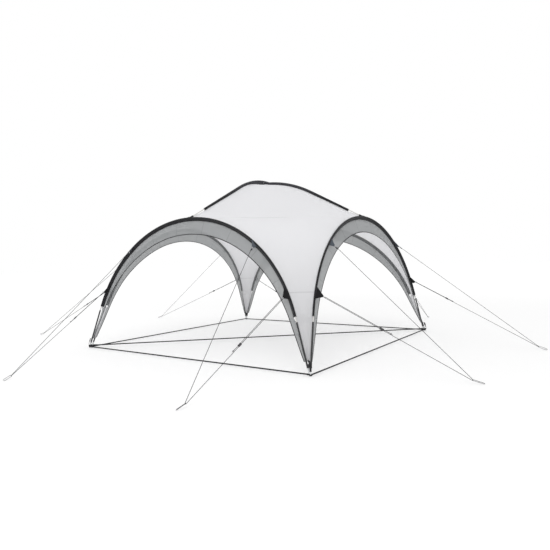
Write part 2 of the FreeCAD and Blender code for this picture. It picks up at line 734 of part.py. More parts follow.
def outer_piece(shape, centre):
    """The solid furthest from a point, where a cut has left several."""
    return max(shape.Solids, key=lambda solid: (solid.CenterOfMass - centre).Length)


def ring(wire_end, reach_dir, side):
    """Ring through a patch's hole, with its far wire where the cord turns."""
    centre = wire_end - reach_dir * RING_R
    return Part.makeTorus(RING_R, RING_WIRE, centre, side.cross(reach_dir))


def barrel(at, direction, long, r):
    """Rounded knot or whipping along a cord."""
    start = at - direction * (long / 2)
    shape = Part.makeCylinder(r, long, start, direction)
    rims = [edge for edge in shape.Edges if edge.Curve.TypeId == "Part::GeomCircle"]
    return shape.makeChamfer(r * KNOT_ROUND, rims)


def guy_knots(guy):
    """Whipping of the sewn eye at the upper ring, and the stopper knot at the cord's end."""
    long, r = KNOT
    whip = barrel(guy.up_ring + guy.up_dir * WHIPPING_AT, guy.up_dir, long, r)
    for sign, reach in ((-1, EYE_END), (1, 2 * EYE_END)):
        line = guy.up_ring + guy.above * (sign * TURN_R)
        whip = whip.cut(rod(line, line + guy.up_dir * reach, CORD_R))
    stop = barrel(guy.tail_end, guy.low_dir, long, STOP_KNOT_R)
    stop = stop.cut(rod(guy.tail_end - guy.low_dir * long, guy.tail_end, CORD_R))
    return [whip, stop]


def peg_loop(guy):
    """Closed elastic loop between the cord's turn and the peg's place on the ground."""
    reach = (guy.peg - guy.eye).normalize()
    long = (guy.peg - guy.eye).Length - 2 * PEG_LOOP_R
    across = reach.cross(guy.side.cross(reach)).normalize()
    near = guy.eye + reach * PEG_LOOP_R
    far = near + reach * long
    axis = reach.cross(across).normalize()
    pieces = []
    for sign in (-1, 1):
        offset = across * (sign * PEG_LOOP_R)
        pieces.append(rod(near + offset, far + offset, PEG_LOOP_WIRE))
    for centre, sign in ((near, -1), (far, 1)):
        start = centre + across * PEG_LOOP_R
        face = disc(start, reach, PEG_LOOP_WIRE)
        pieces.append(face.revolve(centre, axis, -180 * sign))
    return one_solid(pieces)


def runner(guy):
    """Two-hole slider that grips both strands of the lower line."""
    long, wide, thick = RUNNER
    block = Part.makeBox(long, wide, thick, V(-long / 2, -wide / 2, -thick / 2))
    block = block.makeFillet(RUNNER_ROUND, block.Edges)
    for sign in (-1, 1):
        start = V(-long, sign * TURN_R, 0)
        block = block.cut(Part.makeCylinder(RUNNER_HOLE_R, 2 * long, start, V(1, 0, 0)))
    return framed(block, guy.runner_at, guy.low_dir, guy.over, guy.low_dir.cross(guy.over))


def build_arches():
    pole = arch_pole()
    sleeve = arch_sleeve()
    cloth = valance()
    tape = valance_binding()
    tapes = []
    for side, name in enumerate(SIDES):
        save("arch_pole_" + name, [on_arch(pole, side)])
        save("arch_sleeve_" + name, [on_arch(sleeve, side)])
        save("valance_" + name, [on_arch(cloth, side)])
        tapes.append(on_arch(tape, side))
    save("valance_bindings", tapes)


def build_corners():
    tips = []
    for corner, name in enumerate(CORNERS):
        next_side = (corner + 1) % 4
        tubes = [on_arch(leg_tube(RIGHT_HAND), corner), on_arch(leg_tube(LEFT_HAND), next_side)]
        save("leg_tubes_" + name, tubes)
        for hand, side in ((RIGHT_HAND, corner), (LEFT_HAND, next_side)):
            tip = above_ground(on_arch(foot_tip(hand), side))
            flat = min(tip.Faces, key=lambda face: face.CenterOfMass.z)
            print("foot flat at", rounded(flat.CenterOfMass, 3), "area", round(flat.Area, 2))
            tips.append(tip)
    save("foot_tips", tips)
    save("corner_buckles", [buckle(corner) for corner in range(4)])
    save("corner_straps", [piece for corner in range(4) for piece in corner_strap(corner)])
    strap = side_strap()
    for side, name in enumerate(SIDES):
        save("ground_strap_" + name, [quarter(strap, side)])
    save("ground_strap_diagonal", [diagonal_strap()])


def build_roof():
    save("roof_pole_upper", [roof_pole(0)])
    save("roof_pole_lower", [roof_pole(1)])
    save("roof_sleeve_upper", [roof_sleeve(0).cut(crossing_notch())])
    save("roof_sleeve_lower", [roof_sleeve(1)])
    save("apex_pockets", [apex_pocket(side) for side in range(4)])
    save("canopy_roof", [roof_gore(corner) for corner in range(4)])
    save("crown_patch", [crown_patch()])
    panel = leg_panel()
    for corner, name in enumerate(CORNERS):
        save("canopy_leg_" + name, [quarter(panel, corner)])


def build_guys():
    lower_patches = []
    upper_patches = []
    rings = []
    knots = []
    loops = []
    room = sleeve_room()
    for side, hand in PEGS:
        guy = Guy(side, hand)
        sleeve = on_arch(room, side)
        name = SIDES[side] + "_" + HAND_NAMES[hand]
        cord, long = guy_cord(guy)
        filled = cord.Volume / (math.pi * CORD_R**2 * long)
        print(name, "cord", round(long), "mm, turns of radius", TURN_R, "volume share", round(filled, 4))
        save("guy_" + name, [cord])
        save("runner_" + name, [runner(guy)])
        lower = patch(guy.low, guy.low_tangent, guy.low_dir, guy.side, *LOWER_PATCH)
        upper = patch(guy.up, guy.up_tangent, guy.up_dir, guy.side, *UPPER_PATCH)
        lower_patches.append(outer_piece(lower.cut(sleeve), guy.low))
        upper_patches.append(outer_piece(upper.cut(sleeve), guy.up))
        rings += [ring(guy.low_ring, guy.low_dir, guy.side), ring(guy.up_ring, guy.up_dir, guy.side)]
        knots += guy_knots(guy)
        loops.append(peg_loop(guy))
        run = round(guy.run, 1)
        print("  axis", rounded(guy.low_dir, 6), "at", rounded(guy.runner_at, 2), "run", run)
        print("  share", PEGS[(side, hand)][2], "peg", rounded(guy.peg, 2))
    save("guy_patches_lower", lower_patches)
    save("guy_patches_upper", upper_patches)
    save("guy_rings", rings)
    save("guy_knots", knots)
    save("peg_loops", loops)


os.makedirs("parts", exist_ok=True)
build_arches()
build_corners()
build_roof()
build_guys()
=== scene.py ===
import math

import bmesh
import bpy
from mathutils import Matrix, Vector, noise


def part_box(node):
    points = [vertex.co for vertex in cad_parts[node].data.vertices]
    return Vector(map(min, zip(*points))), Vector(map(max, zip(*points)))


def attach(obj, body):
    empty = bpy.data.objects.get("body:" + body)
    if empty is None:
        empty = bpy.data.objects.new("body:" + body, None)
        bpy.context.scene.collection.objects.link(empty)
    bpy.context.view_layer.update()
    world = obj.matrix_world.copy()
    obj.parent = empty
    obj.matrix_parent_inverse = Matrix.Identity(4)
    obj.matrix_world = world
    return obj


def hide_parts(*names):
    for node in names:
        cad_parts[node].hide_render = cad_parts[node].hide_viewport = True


# Looks of the tarp shelter. Metres, +Z up, in the CAD part's frame. Side 0 faces
# -Y, and each next side is a quarter turn anticlockwise from above.

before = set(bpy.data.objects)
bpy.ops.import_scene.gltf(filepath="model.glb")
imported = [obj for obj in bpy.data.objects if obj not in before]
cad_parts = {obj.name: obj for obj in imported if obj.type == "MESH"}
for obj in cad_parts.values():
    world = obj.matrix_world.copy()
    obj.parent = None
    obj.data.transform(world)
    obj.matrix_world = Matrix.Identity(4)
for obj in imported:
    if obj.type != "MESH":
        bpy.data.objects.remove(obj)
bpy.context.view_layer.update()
BODY = "shelter"
Z = Vector((0, 0, 1))
SIDES = ("front", "right", "back", "left")
CORNERS = ("near", "right", "far", "left")
RIGHT_HAND = 1
LEFT_HAND = -1
HAND_NAMES = {LEFT_HAND: "left", RIGHT_HAND: "right"}

# ---- dimensions, which are the CAD part's own unless a comment says so ----
HALF = 1.750
ARCH_SHIFT = -0.020
LEG_RUN = 0.612
LEG_LEAN = math.radians(18.75)
ARCH_TILT = math.radians(6.78)
ROOF_RISES = (math.radians(26.1), math.radians(27.2))
ROOF_STRAIGHTS = (1.080, 0.860)
SLEEVE_R = 0.011
ROOF_SLEEVE_R = 0.0105
ROOF_SLEEVE_SHORTS = (0.260, 0.205)
RIDGE_SHORT = 0.205
CANOPY_FOOT = 0.150
LEG_HOLLOW = 0.08
SEAM_HOLLOW = 0.03
ROOF_HOLLOW = 0.03
ROOF_DROP = 0.029  # of the looks' cloth under a roof pole, less than the CAD cloth's
END_DROP = 0.020  # and where the sleeve ends
CROWN_BLEND = 0.450
VALANCE_DEPTH = 0.195
VALANCE_POWER = 1.9
VALANCE_FOOT = 0.150
WEB = 0.022
GROUND_WEB = 0.015
WEB_T = 0.0018
LOOP_R = 0.012
CROSS_LOOP_R = 0.034
BUCKLE_Z = 0.098
BUCKLE_OUT = 0.0372
STRAP_DROP = 0.060
LOWER_Z = 0.815
UPPER_Z = 1.350
LOWER_PATCH = (0.078, 0.088)
UPPER_PATCH = (0.052, 0.072)
RING_R = 0.011
CORD_R = 0.0025
TURN_R = 0.0050
PEG_Z = 0.009
PEG_LOOP_LONG = 0.105
PATCH_HOLE_IN = 0.004
EYE_Z = 0.034
TAIL = 0.100
# Each guy's outer end, its runner's share of the run and the cord's length.
GUYS = {
    (0, LEFT_HAND): (-0.854, -3.407, 0.36, 4.700),
    (0, RIGHT_HAND): (1.400, -3.250, 0.50, 4.514),
    (1, LEFT_HAND): (3.262, -1.269, 0.415, 4.394),
    (1, RIGHT_HAND): (3.545, 0.785, 0.29, 4.852),
    (2, LEFT_HAND): (1.300, 3.430, 0.34, 4.605),
    (2, RIGHT_HAND): (-1.300, 3.430, 0.34, 4.606),
    (3, LEFT_HAND): (-3.648, 1.253, 0.27, 4.912),
    (3, RIGHT_HAND): (-3.641, -1.336, 0.29, 4.941),
}

ARC_X = HALF - LEG_RUN * math.sin(LEG_LEAN)
ARC_Z = LEG_RUN * math.cos(LEG_LEAN)
ARC_R = ARC_X / math.cos(LEG_LEAN)
ARC_MID = Vector((0, 0, ARC_Z - ARC_R * math.sin(LEG_LEAN)))
ARC_TURN = math.pi / 2 - LEG_LEAN
HALF_ARCH = ARC_R * ARC_TURN + LEG_RUN


# ---- camera ----
CAMERA_AT = (4.257, -6.047, 1.171)
CAMERA_TURNS = (34.166, 1.846, -1.239)  # degrees round the shelter, up from level and of roll
LENS = 33.17
SENSOR = 36.0
CLIP_END = 200.0


def make_camera():
    azimuth, rise, roll = [math.radians(turn) for turn in CAMERA_TURNS]
    flat = math.cos(rise)
    back = Vector((math.sin(azimuth) * flat, -math.cos(azimuth) * flat, math.sin(rise)))
    level = Z.cross(back).normalized()
    upright = back.cross(level)
    across = level * math.cos(roll) + upright * math.sin(roll)
    up = upright * math.cos(roll) - level * math.sin(roll)
    data = bpy.data.cameras.new("camera")
    data.lens = LENS
    data.sensor_width = SENSOR
    data.clip_end = CLIP_END
    camera = bpy.data.objects.new("camera", data)
    matrix = Matrix((across, up, back)).transposed().to_4x4()
    matrix.translation = Vector(CAMERA_AT)
    camera.matrix_world = matrix
    bpy.context.scene.collection.objects.link(camera)
    bpy.context.scene.camera = camera


# ---- node helpers ----
def plug(tree, socket, value):
    if isinstance(value, bpy.types.NodeSocket):
        tree.links.new(value, socket)
    else:
        socket.default_value = value


def node(tree, kind, values=None, **props):
    made = tree.nodes.new(kind)
    for key, value in props.items():
        setattr(made, key, value)
    for key, value in (values or {}).items():
        plug(tree, made.inputs[key], value)
    return made


def calc(tree, operation, a, b=0.0):
    return node(tree, "ShaderNodeMath", {0: a, 1: b}, operation=operation).outputs[0]


def scaled(tree, value, by):
    return calc(tree, "MULTIPLY", value, by)


def ramp(tree, value, low, high):
    """0 at low and 1 at high, smooth between."""
    values = {0: value, 1: low, 2: high}
    return node(tree, "ShaderNodeMapRange", values, interpolation_type="SMOOTHSTEP").outputs[0]


def noise_at(tree, where, scale, detail=3.0, rough=0.55):
    values = {"Vector": where, "Scale": scale, "Detail": detail, "Roughness": rough}
    return node(tree, "ShaderNodeTexNoise", values).outputs["Fac"]


def constants(shader, values):
    for name, value in values.items():
        shader.inputs[name].default_value = value


def shade(colour, factor):
    return tuple(min(c * factor, 1.0) for c in colour[:3]) + (1.0,)


def new_material(name, colour, rough, metal=0.0):
    material = bpy.data.materials.new(name)
    material.use_nodes = True
    tree = material.node_tree
    shader = tree.nodes["Principled BSDF"]
    base = tuple(colour) + (1.0,)
    constants(shader, {"Base Color": base, "Roughness": rough, "Metallic": metal})
    return material, tree, shader


def places(tree):
    coords = node(tree, "ShaderNodeTexCoord")
    split = node(tree, "ShaderNodeSeparateXYZ", {0: coords.outputs["UV"]})
    return coords.outputs["Object"], split.outputs[0], split.outputs[1]


def mixed(tree, factor, a, b):
    made = node(tree, "ShaderNodeMix", {"Factor": factor}, data_type="RGBA")
    plug(tree, made.inputs[6], a)
    plug(tree, made.inputs[7], b)
    return made.outputs[2]


def waves(tree, value, period):
    return calc(tree, "SINE", scaled(tree, value, 2 * math.pi / period))


def stretched(tree, where, along):
    """Coordinates with Z scaled, so that a noise on them runs in lines."""
    return node(tree, "ShaderNodeMapping", {"Vector": where, "Scale": (1.0, 1.0, along)}).outputs[0]


def relief(tree, shader, tint, height, strength, distance):
    """Sets the shader's colour and bump, and returns the bumped normal."""
    values = {"Strength": strength, "Distance": distance, "Height": height}
    normal = node(tree, "ShaderNodeBump", values).outputs[0]
    plug(tree, shader.inputs["Base Color"], tint)
    plug(tree, shader.inputs["Normal"], normal)
    return normal


STITCH_STEP = 0.0045
STITCH_HALF = 0.0007  # half the width of a row
STITCH_SHARE = 0.66  # of a step that shows thread


def stitches(tree, distance, along, row):
    """Mask of a row of stitches at a distance from a seam's line."""
    off = calc(tree, "ABSOLUTE", calc(tree, "SUBTRACT", distance, row))
    line = calc(tree, "LESS_THAN", off, STITCH_HALF)
    step = calc(tree, "FRACT", calc(tree, "DIVIDE", along, STITCH_STEP))
    return calc(tree, "MULTIPLY", line, calc(tree, "LESS_THAN", step, STITCH_SHARE))


# ---- materials ----
CLOTH_ROUGH = 0.85
PALE = 0.3  # cloth above this is sewn with darker thread, and other cloth with paler


def cloth(name, colour, thread, vary=0.05, sheen=0.1, seam_along="v", seam_half=0.006, **more):
    """Woven cloth. `thread` is half the weave's period and `vary` the colour's wander.

    seam_along is the way the stitches run on the mesh, which carries its distance from a
    seam. The height shading argument (low, high, most, factor) is painted light and shade: it
    mixes the colour towards a lighter or darker copy between two heights. `thin` lets light
    through, `clear` shows what is behind and `shine` is the specular level.
    """
    material, tree, shader = new_material(name, colour, CLOTH_ROUGH)
    where, u, v = places(tree)
    weave = calc(tree, "MULTIPLY", waves(tree, u, 2 * thread), waves(tree, v, 2 * thread))
    slub = noise_at(tree, where, 180.0, 2.0)
    broad = noise_at(tree, where, 1.6, 4.0)
    fine = noise_at(tree, where, 26.0, 3.0)
    tone = calc(tree, "ADD", scaled(tree, broad, 0.7), scaled(tree, fine, 0.3))
    tint = mixed(tree, tone, shade(colour, 1 - vary), shade(colour, 1 + vary))
    raised = scaled(tree, ramp(tree, weave, -1.0, 1.0), 0.10)
    tint = mixed(tree, raised, tint, shade(colour, 0.75))
    # Painted light and shade: between two heights the colour is mixed towards a darker or lighter
    # copy, standing in for how the light falls on low and high parts.
    if "fade" in more:
        none_z, full_z, most, factor = more["fade"]
        level = node(tree, "ShaderNodeSeparateXYZ", {0: where}).outputs[2]
        painted_shading = scaled(tree, ramp(tree, level, none_z, full_z), most)
        tint = mixed(tree, painted_shading, tint, shade(colour, factor))
    distance = node(tree, "ShaderNodeAttribute", attribute_name="seam").outputs["Fac"]
    seam = ramp(tree, distance, seam_half * 1.25, seam_half * 0.8)
    tint = mixed(tree, scaled(tree, seam, 0.24), tint, shade(colour, 0.55))
    sewn = stitches(tree, distance, u if seam_along == "u" else v, seam_half * 0.6)
    sewing = shade(colour, 0.62 if colour[0] > PALE else 2.2)
    tint = mixed(tree, scaled(tree, sewn, 0.75), tint, sewing)
    height = calc(tree, "ADD", scaled(tree, weave, 0.5), slub)
    height = calc(tree, "ADD", height, scaled(tree, seam, 1.5))
    height = calc(tree, "SUBTRACT", height, sewn)
    normal = relief(tree, shader, tint, height, 0.35, 0.0004)
    rough = calc(tree, "ADD", scaled(tree, fine, 0.10), CLOTH_ROUGH - 0.05)
    plug(tree, shader.inputs["Roughness"], rough)
    shine = more.get("shine", 0.3)
    constants(shader, {"Sheen Weight": sheen, "Sheen Roughness": 0.5, "Specular IOR Level": shine})
    surface = shader.outputs[0]
    if "thin" in more:
        through = node(tree, "ShaderNodeBsdfTranslucent", {"Color": tint, "Normal": normal})
        values = {0: more["thin"], 1: surface, 2: through.outputs[0]}
        surface = node(tree, "ShaderNodeMixShader", values).outputs[0]
    if "clear" in more:
        gap = node(tree, "ShaderNodeBsdfTransparent")
        values = {0: more["clear"], 1: surface, 2: gap.outputs[0]}
        surface = node(tree, "ShaderNodeMixShader", values).outputs[0]
    tree.links.new(surface, tree.nodes["Material Output"].inputs["Surface"])
    return material


RIB = 0.0016
WEFT = 0.0022


def webbing(name, colour):
    """Woven webbing: fine ribs along its length, crossed by the weft, and worn patches."""
    material, tree, shader = new_material(name, colour, 0.8)
    where, u, v = places(tree)
    ribs = waves(tree, u, RIB)
    weft = waves(tree, calc(tree, "ADD", v, scaled(tree, ribs, 0.0004)), WEFT)
    worn = ramp(tree, noise_at(tree, where, 14.0, 4.0), 0.55, 0.8)
    height = scaled(tree, calc(tree, "ADD", ribs, weft), 0.5)
    # Painted shade: the colour is darker in the grooves between the ribs and weft and lighter on
    # their crowns.
    tint = mixed(tree, ramp(tree, height, -1.0, 1.0), shade(colour, 0.7), shade(colour, 1.15))
    tint = mixed(tree, scaled(tree, worn, 0.35), tint, shade(colour, 1.7))
    relief(tree, shader, tint, height, 0.5, 0.0004)
    constants(shader, {"Sheen Weight": 0.05, "Specular IOR Level": 0.15})
    return material


PLASTIC_ROUGH = 0.42


def plastic(name, colour):
    """Moulded nylon: spark-eroded grain, with edges rubbed paler and smoother."""
    material, tree, shader = new_material(name, colour, PLASTIC_ROUGH)
    where, _, _ = places(tree)
    grain = noise_at(tree, where, 1400.0, 2.0)
    patchy = noise_at(tree, where, 45.0, 3.0)
    rubbed = ramp(tree, node(tree, "ShaderNodeNewGeometry").outputs["Pointiness"], 0.52, 0.60)
    tint = mixed(tree, patchy, shade(colour, 0.85), shade(colour, 1.2))
    tint = mixed(tree, scaled(tree, rubbed, 0.5), tint, shade(colour, 2.4))
    relief(tree, shader, tint, grain, 0.3, 0.0002)
    rough = calc(tree, "SUBTRACT", PLASTIC_ROUGH + 0.08, scaled(tree, rubbed, 0.12))
    plug(tree, shader.inputs["Roughness"], rough)
    constants(shader, {"Specular IOR Level": 0.3})
    return material


def coated(name, colour):
    """Powder coat on the steel legs: orange peel and rubbed, dusty patches."""
    material, tree, shader = new_material(name, colour, 0.45)
    where, _, _ = places(tree)
    peel = noise_at(tree, where, 420.0, 2.0)
    rub = ramp(tree, noise_at(tree, where, 22.0, 5.0, 0.65), 0.60, 0.78)
    tint = mixed(tree, scaled(tree, rub, 0.5), shade(colour, 1.0), shade(colour, 1.9))
    relief(tree, shader, tint, peel, 0.25, 0.0003)
    plug(tree, shader.inputs["Roughness"], calc(tree, "ADD", 0.38, scaled(tree, rub, 0.25)))
    constants(shader, {"Specular IOR Level": 0.35, "Coat Weight": 0.1, "Coat Roughness": 0.3})
    return material


def metal(name, colour, rough, marks):
    """Turned or drawn metal: fine lines round the part, and small stains."""
    material, tree, shader = new_material(name, colour, rough, 1.0)
    where, _, _ = places(tree)
    lines = noise_at(tree, stretched(tree, where, marks), 90.0, 3.0)
    stain = ramp(tree, noise_at(tree, where, 30.0, 4.0), 0.5, 0.8)
    tint = mixed(tree, scaled(tree, stain, 0.4), shade(colour, 1.0), shade(colour, 0.62))
    relief(tree, shader, tint, lines, 0.2, 0.0002)
    drawn = calc(tree, "ADD", rough - 0.08, scaled(tree, lines, 0.16))
    plug(tree, shader.inputs["Roughness"], drawn)
    return material


def glass_fibre(name, colour):
    """Pultruded rod: fibres along it under a thin resin skin."""
    material, tree, shader = new_material(name, colour, 0.4)
    where, _, _ = places(tree)
    fibres = noise_at(tree, stretched(tree, where, 0.04), 900.0)
    blotch = ramp(tree, noise_at(tree, where, 12.0, 3.0), 0.5, 0.8)
    tint = mixed(tree, fibres, shade(colour, 0.86), shade(colour, 1.06))
    tint = mixed(tree, scaled(tree, blotch, 0.25), tint, shade(colour, 0.8))
    relief(tree, shader, tint, fibres, 0.15, 0.0002)
    constants(shader, {"Coat Weight": 0.3})
    return material


def braid(name, colour, step=0.0012):
    """Braided sheath: two sets of strands crossing on the slant."""
    material, tree, shader = new_material(name, colour, 0.75)
    where, _, _ = places(tree)
    x, y, z = node(tree, "ShaderNodeSeparateXYZ", {0: where}).outputs
    level = calc(tree, "ADD", x, y)
    one = waves(tree, calc(tree, "ADD", level, z), step * 2)
    two = waves(tree, calc(tree, "SUBTRACT", level, z), step * 2)
    height = calc(tree, "MAXIMUM", one, two)
    fuzz = noise_at(tree, where, 60.0, 3.0)
    # Painted shade: the colour is darker between the strands and lighter on their crowns.
    tint = mixed(tree, ramp(tree, height, -0.6, 1.0), shade(colour, 0.6), shade(colour, 1.1))
    tint = mixed(tree, scaled(tree, fuzz, 0.3), tint, shade(colour, 1.25))
    relief(tree, shader, tint, height, 0.5, 0.0003)
    return material


# ---- mesh helpers ----
def link(data, name, material, body=BODY):
    piece = bpy.data.objects.new(name, data)
    bpy.context.scene.collection.objects.link(piece)
    if material is not None:
        data.materials.append(material)
    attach(piece, body)
    return piece


def strip_mesh(name, rows, loop=False, seams=None):
    """Mesh through rows of points. u runs along a row and v from row to row, in metres."""
    wide = len(rows[0])
    mesh = bpy.data.meshes.new(name)
    faces, marks = [], []
    for i in range(len(rows) - 1):
        for j in range(wide if loop else wide - 1):
            k = (j + 1) % wide
            faces.append((i * wide + j, i * wide + k, (i + 1) * wide + k, (i + 1) * wide + j))
            marks.append(((i, j), (i, j + 1), (i + 1, j + 1), (i + 1, j)))
    mesh.from_pydata([p for row in rows for p in row], [], faces)
    u, v = [], [0.0]
    for i, row in enumerate(rows):
        far = [0.0]
        for j in range(wide):
            far.append(far[-1] + (row[(j + 1) % wide] - row[j]).length)
        middle = far[wide - 1] / 2
        u.append([f - middle for f in far])
        if i:
            v.append(v[-1] + sum((a - b).length for a, b in zip(row, rows[i - 1])) / wide)
    layer = mesh.uv_layers.new(name="UVMap")
    for face, mark in zip(mesh.polygons, marks):
        face.use_smooth = True
        for corner, (i, j) in zip(face.loop_indices, mark):
            layer.data[corner].uv = (u[i][j], v[i])
    if seams is not None:
        values = mesh.attributes.new("seam", "FLOAT", "POINT")
        values.data.foreach_set("value", [d for row in seams for d in row])
    return mesh


def joined(name, meshes, merge=0.0):
    """One mesh of several, with points closer than `merge` made one."""
    made = bmesh.new()
    for mesh in meshes:
        made.from_mesh(mesh)
    if merge:
        bmesh.ops.remove_doubles(made, verts=made.verts, dist=merge)
        bmesh.ops.recalc_face_normals(made, faces=made.faces)
    mesh = bpy.data.meshes.new(name)
    made.to_mesh(mesh)
    made.free()
    return mesh


def thicken(piece, thickness, offset=0.0):
    solid = piece.modifiers.new("thickness", "SOLIDIFY")
    solid.thickness = thickness
    solid.offset = offset


def soften(piece, width):
    bevel = piece.modifiers.new("edges", "BEVEL")
    bevel.width = width
    bevel.segments = 2
    bevel.limit_method = "ANGLE"
    bevel.angle_limit = math.radians(40)


def ease(x):
    x = min(max(x, 0.0), 1.0)
    return x * x * (3 - 2 * x)


# ---- the arches' and the roof's lines ----
def arch_matrix(side):
    stand = Matrix.Translation((ARCH_SHIFT, -HALF, 0)) @ Matrix.Rotation(-ARCH_TILT, 4, "X")
    return Matrix.Rotation(math.pi / 2 * side, 4, "Z") @ stand


ARCHES = [arch_matrix(side) for side in range(4)]


def arch_flat(hand, long):
    """Point, tangent to the top and outward normal on an arch, `long` up from a foot."""
    if long < LEG_RUN:
        turn = ARC_TURN
        point = Vector((HALF - long * math.sin(LEG_LEAN), 0, long * math.cos(LEG_LEAN)))
    else:
        turn = (HALF_ARCH - long) / ARC_R
        point = ARC_MID + Vector((math.sin(turn), 0, math.cos(turn))) * ARC_R
    normal = Vector((math.sin(turn), 0, math.cos(turn)))
    tangent = Vector((-math.cos(turn), 0, math.sin(turn)))
    for vector in (point, normal, tangent):
        vector.x *= hand
    return point, tangent, normal


def arch_point(side, hand, long, inward=0.0, out=0.0):
    point, _, normal = arch_flat(hand, long)
    return ARCHES[side] @ (point + normal * out + Vector((0, inward, 0)))


def long_at_height(height):
    level = height / math.cos(ARCH_TILT)
    if level < ARC_Z:
        return level / math.cos(LEG_LEAN)
    return HALF_ARCH - ARC_R * math.acos((level - ARC_MID.z) / ARC_R)


class RoofLine:
    """Centreline of a roof pole, from one arch's top to the opposite one's."""

    def __init__(self, rise, straight):
        ends = [arch_point(side, RIGHT_HAND, HALF_ARCH) for side in (0, 2)]
        self.half = (ends[1] - ends[0]).length / 2
        self.turn = math.atan2(ends[1].y - ends[0].y, ends[1].x - ends[0].x)
        self.rise = rise
        self.low = ends[0].z
        self.knee_x = self.half - straight * math.cos(rise)
        self.knee_z = self.low + straight * math.sin(rise)
        self.r = self.knee_x / math.sin(rise)
        self.mid = Vector((0, 0, self.knee_z - self.r * math.cos(rise)))

    def at(self, out):
        """Point and normal, `out` from the centre along X."""
        far = abs(out)
        if far > self.knee_x:
            point = Vector((far, 0, self.knee_z - (far - self.knee_x) * math.tan(self.rise)))
            normal = Vector((math.sin(self.rise), 0, math.cos(self.rise)))
        else:
            turn = math.asin(far / self.r)
            normal = Vector((math.sin(turn), 0, math.cos(turn)))
            point = self.mid + normal * self.r
        if out < 0:
            point.x, normal.x = -point.x, -normal.x
        return point, normal


ROOF = [RoofLine(rise, straight) for rise, straight in zip(ROOF_RISES, ROOF_STRAIGHTS)]


DROP_FROM = 0.70  # from the centre, where the cloth starts to near the pole
DROP_LONG = 0.55


def ridge_drop(pair, out):
    """How far a roof pole's axis is above the cloth."""
    over = ROOF[pair].at(0.0)[0].z - ROOF[1].at(0.0)[0].z
    drop = ROOF_DROP + (END_DROP - ROOF_DROP) * ease((abs(out) - DROP_FROM) / DROP_LONG)
    return drop + over * (1 - ease(abs(out) / CROWN_BLEND))


def ridge_point(side, out):
    """The cloth's ridge towards a side, under the roof pole's sleeve."""
    line = ROOF[side % 2]
    point, normal = line.at(-out)
    point = point - normal * ridge_drop(side % 2, out)
    return Matrix.Rotation(line.turn + math.pi / 2 * side, 4, "Z") @ point


def hollow_row(a, b, in_share, down_share, steps):
    """Points from a to b on a row that bows inwards and down by shares of its length."""
    wide = (b - a).length
    middle = (a + b) * 0.5
    inward = Vector((-middle.x, -middle.y, 0)).normalized()
    sag = inward * (in_share * wide) - Z * (down_share * wide)
    shares = [i / steps for i in range(steps + 1)]
    return [a + (b - a) * s + sag * (4 * s * (1 - s)) for s in shares]


EDGE_FREE = 0.06  # the cloth's edge leaves the sleeve this far below its end
EDGE_HELD = (0.009, 0.004)  # inward and out of the pole's axis on the sleeve
FOOT_IN = 0.014
FREE_MOVE = (0.004, -0.020)  # and by how much more beside the bare leg


def canopy_edge(long):
    """The canopy's edge: on the sleeve, and below it clear of the bare leg."""
    held = ease((long - LEG_RUN + EDGE_FREE) / 0.08)
    low = ease((long - CANOPY_FOOT) / (LEG_RUN - CANOPY_FOOT - EDGE_FREE))
    inward = (FOOT_IN + FREE_MOVE[0] * low) * (1 - held) + EDGE_HELD[0] * held
    out = FREE_MOVE[1] * low * (1 - held) + EDGE_HELD[1] * held
    return inward, out


# ---- canopy ----
LEG_ROWS = 84
ROOF_ROWS = 44
ACROSS = 48
SEAM_ROWS = (-0.012, -0.006, 0.0, 0.006, 0.012)
SEAM_ROOM = 0.020  # no other row lies this near a seam
NO_SEAM = 0.5  # distance that stands for no seam near
CANOPY_T = 0.0012
LEG_LONG = 2.4  # about the leg panel's length, and its widths at the top and at the patches
TOP_WIDE = 2.1
PATCH_WIDE = 1.0
PATCH_SHARE = 0.31  # of the leg panel's length up to the lower patches


def fold_depth(corner, s, t, top, place):
    """How far the cloth stands out of its smooth form, in metres."""
    edge = math.sin(math.pi * s)
    if top:
        swell = noise.noise(place * 1.7 + Vector((3.1, 0.7, 5.5))) * 0.006
        pull = math.sin(28 * s + 2.2 * corner) * 0.0012 * math.exp(-5 * t)
        return (swell * min(1.0, 3 * (1 - t)) + pull) * edge
    foot = math.sin(2 * math.pi * (2.5 * s + 0.13 * corner)) * 0.006 * math.exp(-7 * t)
    swell = noise.noise(place * 1.9 + Vector((0.3, 8.1, 2.2))) * 0.008
    fan = 0.0
    for from_s, sway in ((0.0, 1.0), (1.0, -1.0)):
        across, down = (s - from_s) * sway * TOP_WIDE, (1.0 - t) * LEG_LONG
        reach = math.hypot(across, down)
        wave = math.sin(17 * math.atan2(across, down + 0.02) + corner * 1.3) * 0.0055
        fan += wave * math.exp(-2.6 * reach) * min(1.0, 5 * reach)
    for from_s, sway in ((0.0, 1.0), (1.0, -1.0)):
        across, down = (s - from_s) * sway * PATCH_WIDE, (PATCH_SHARE - t) * LEG_LONG
        reach = math.hypot(across, down)
        wave = math.sin(9 * math.atan2(down, across + 0.01)) * 0.004
        fan += wave * math.exp(-7 * reach) * min(1.0, 9 * reach)
    return (foot + swell + fan) * edge


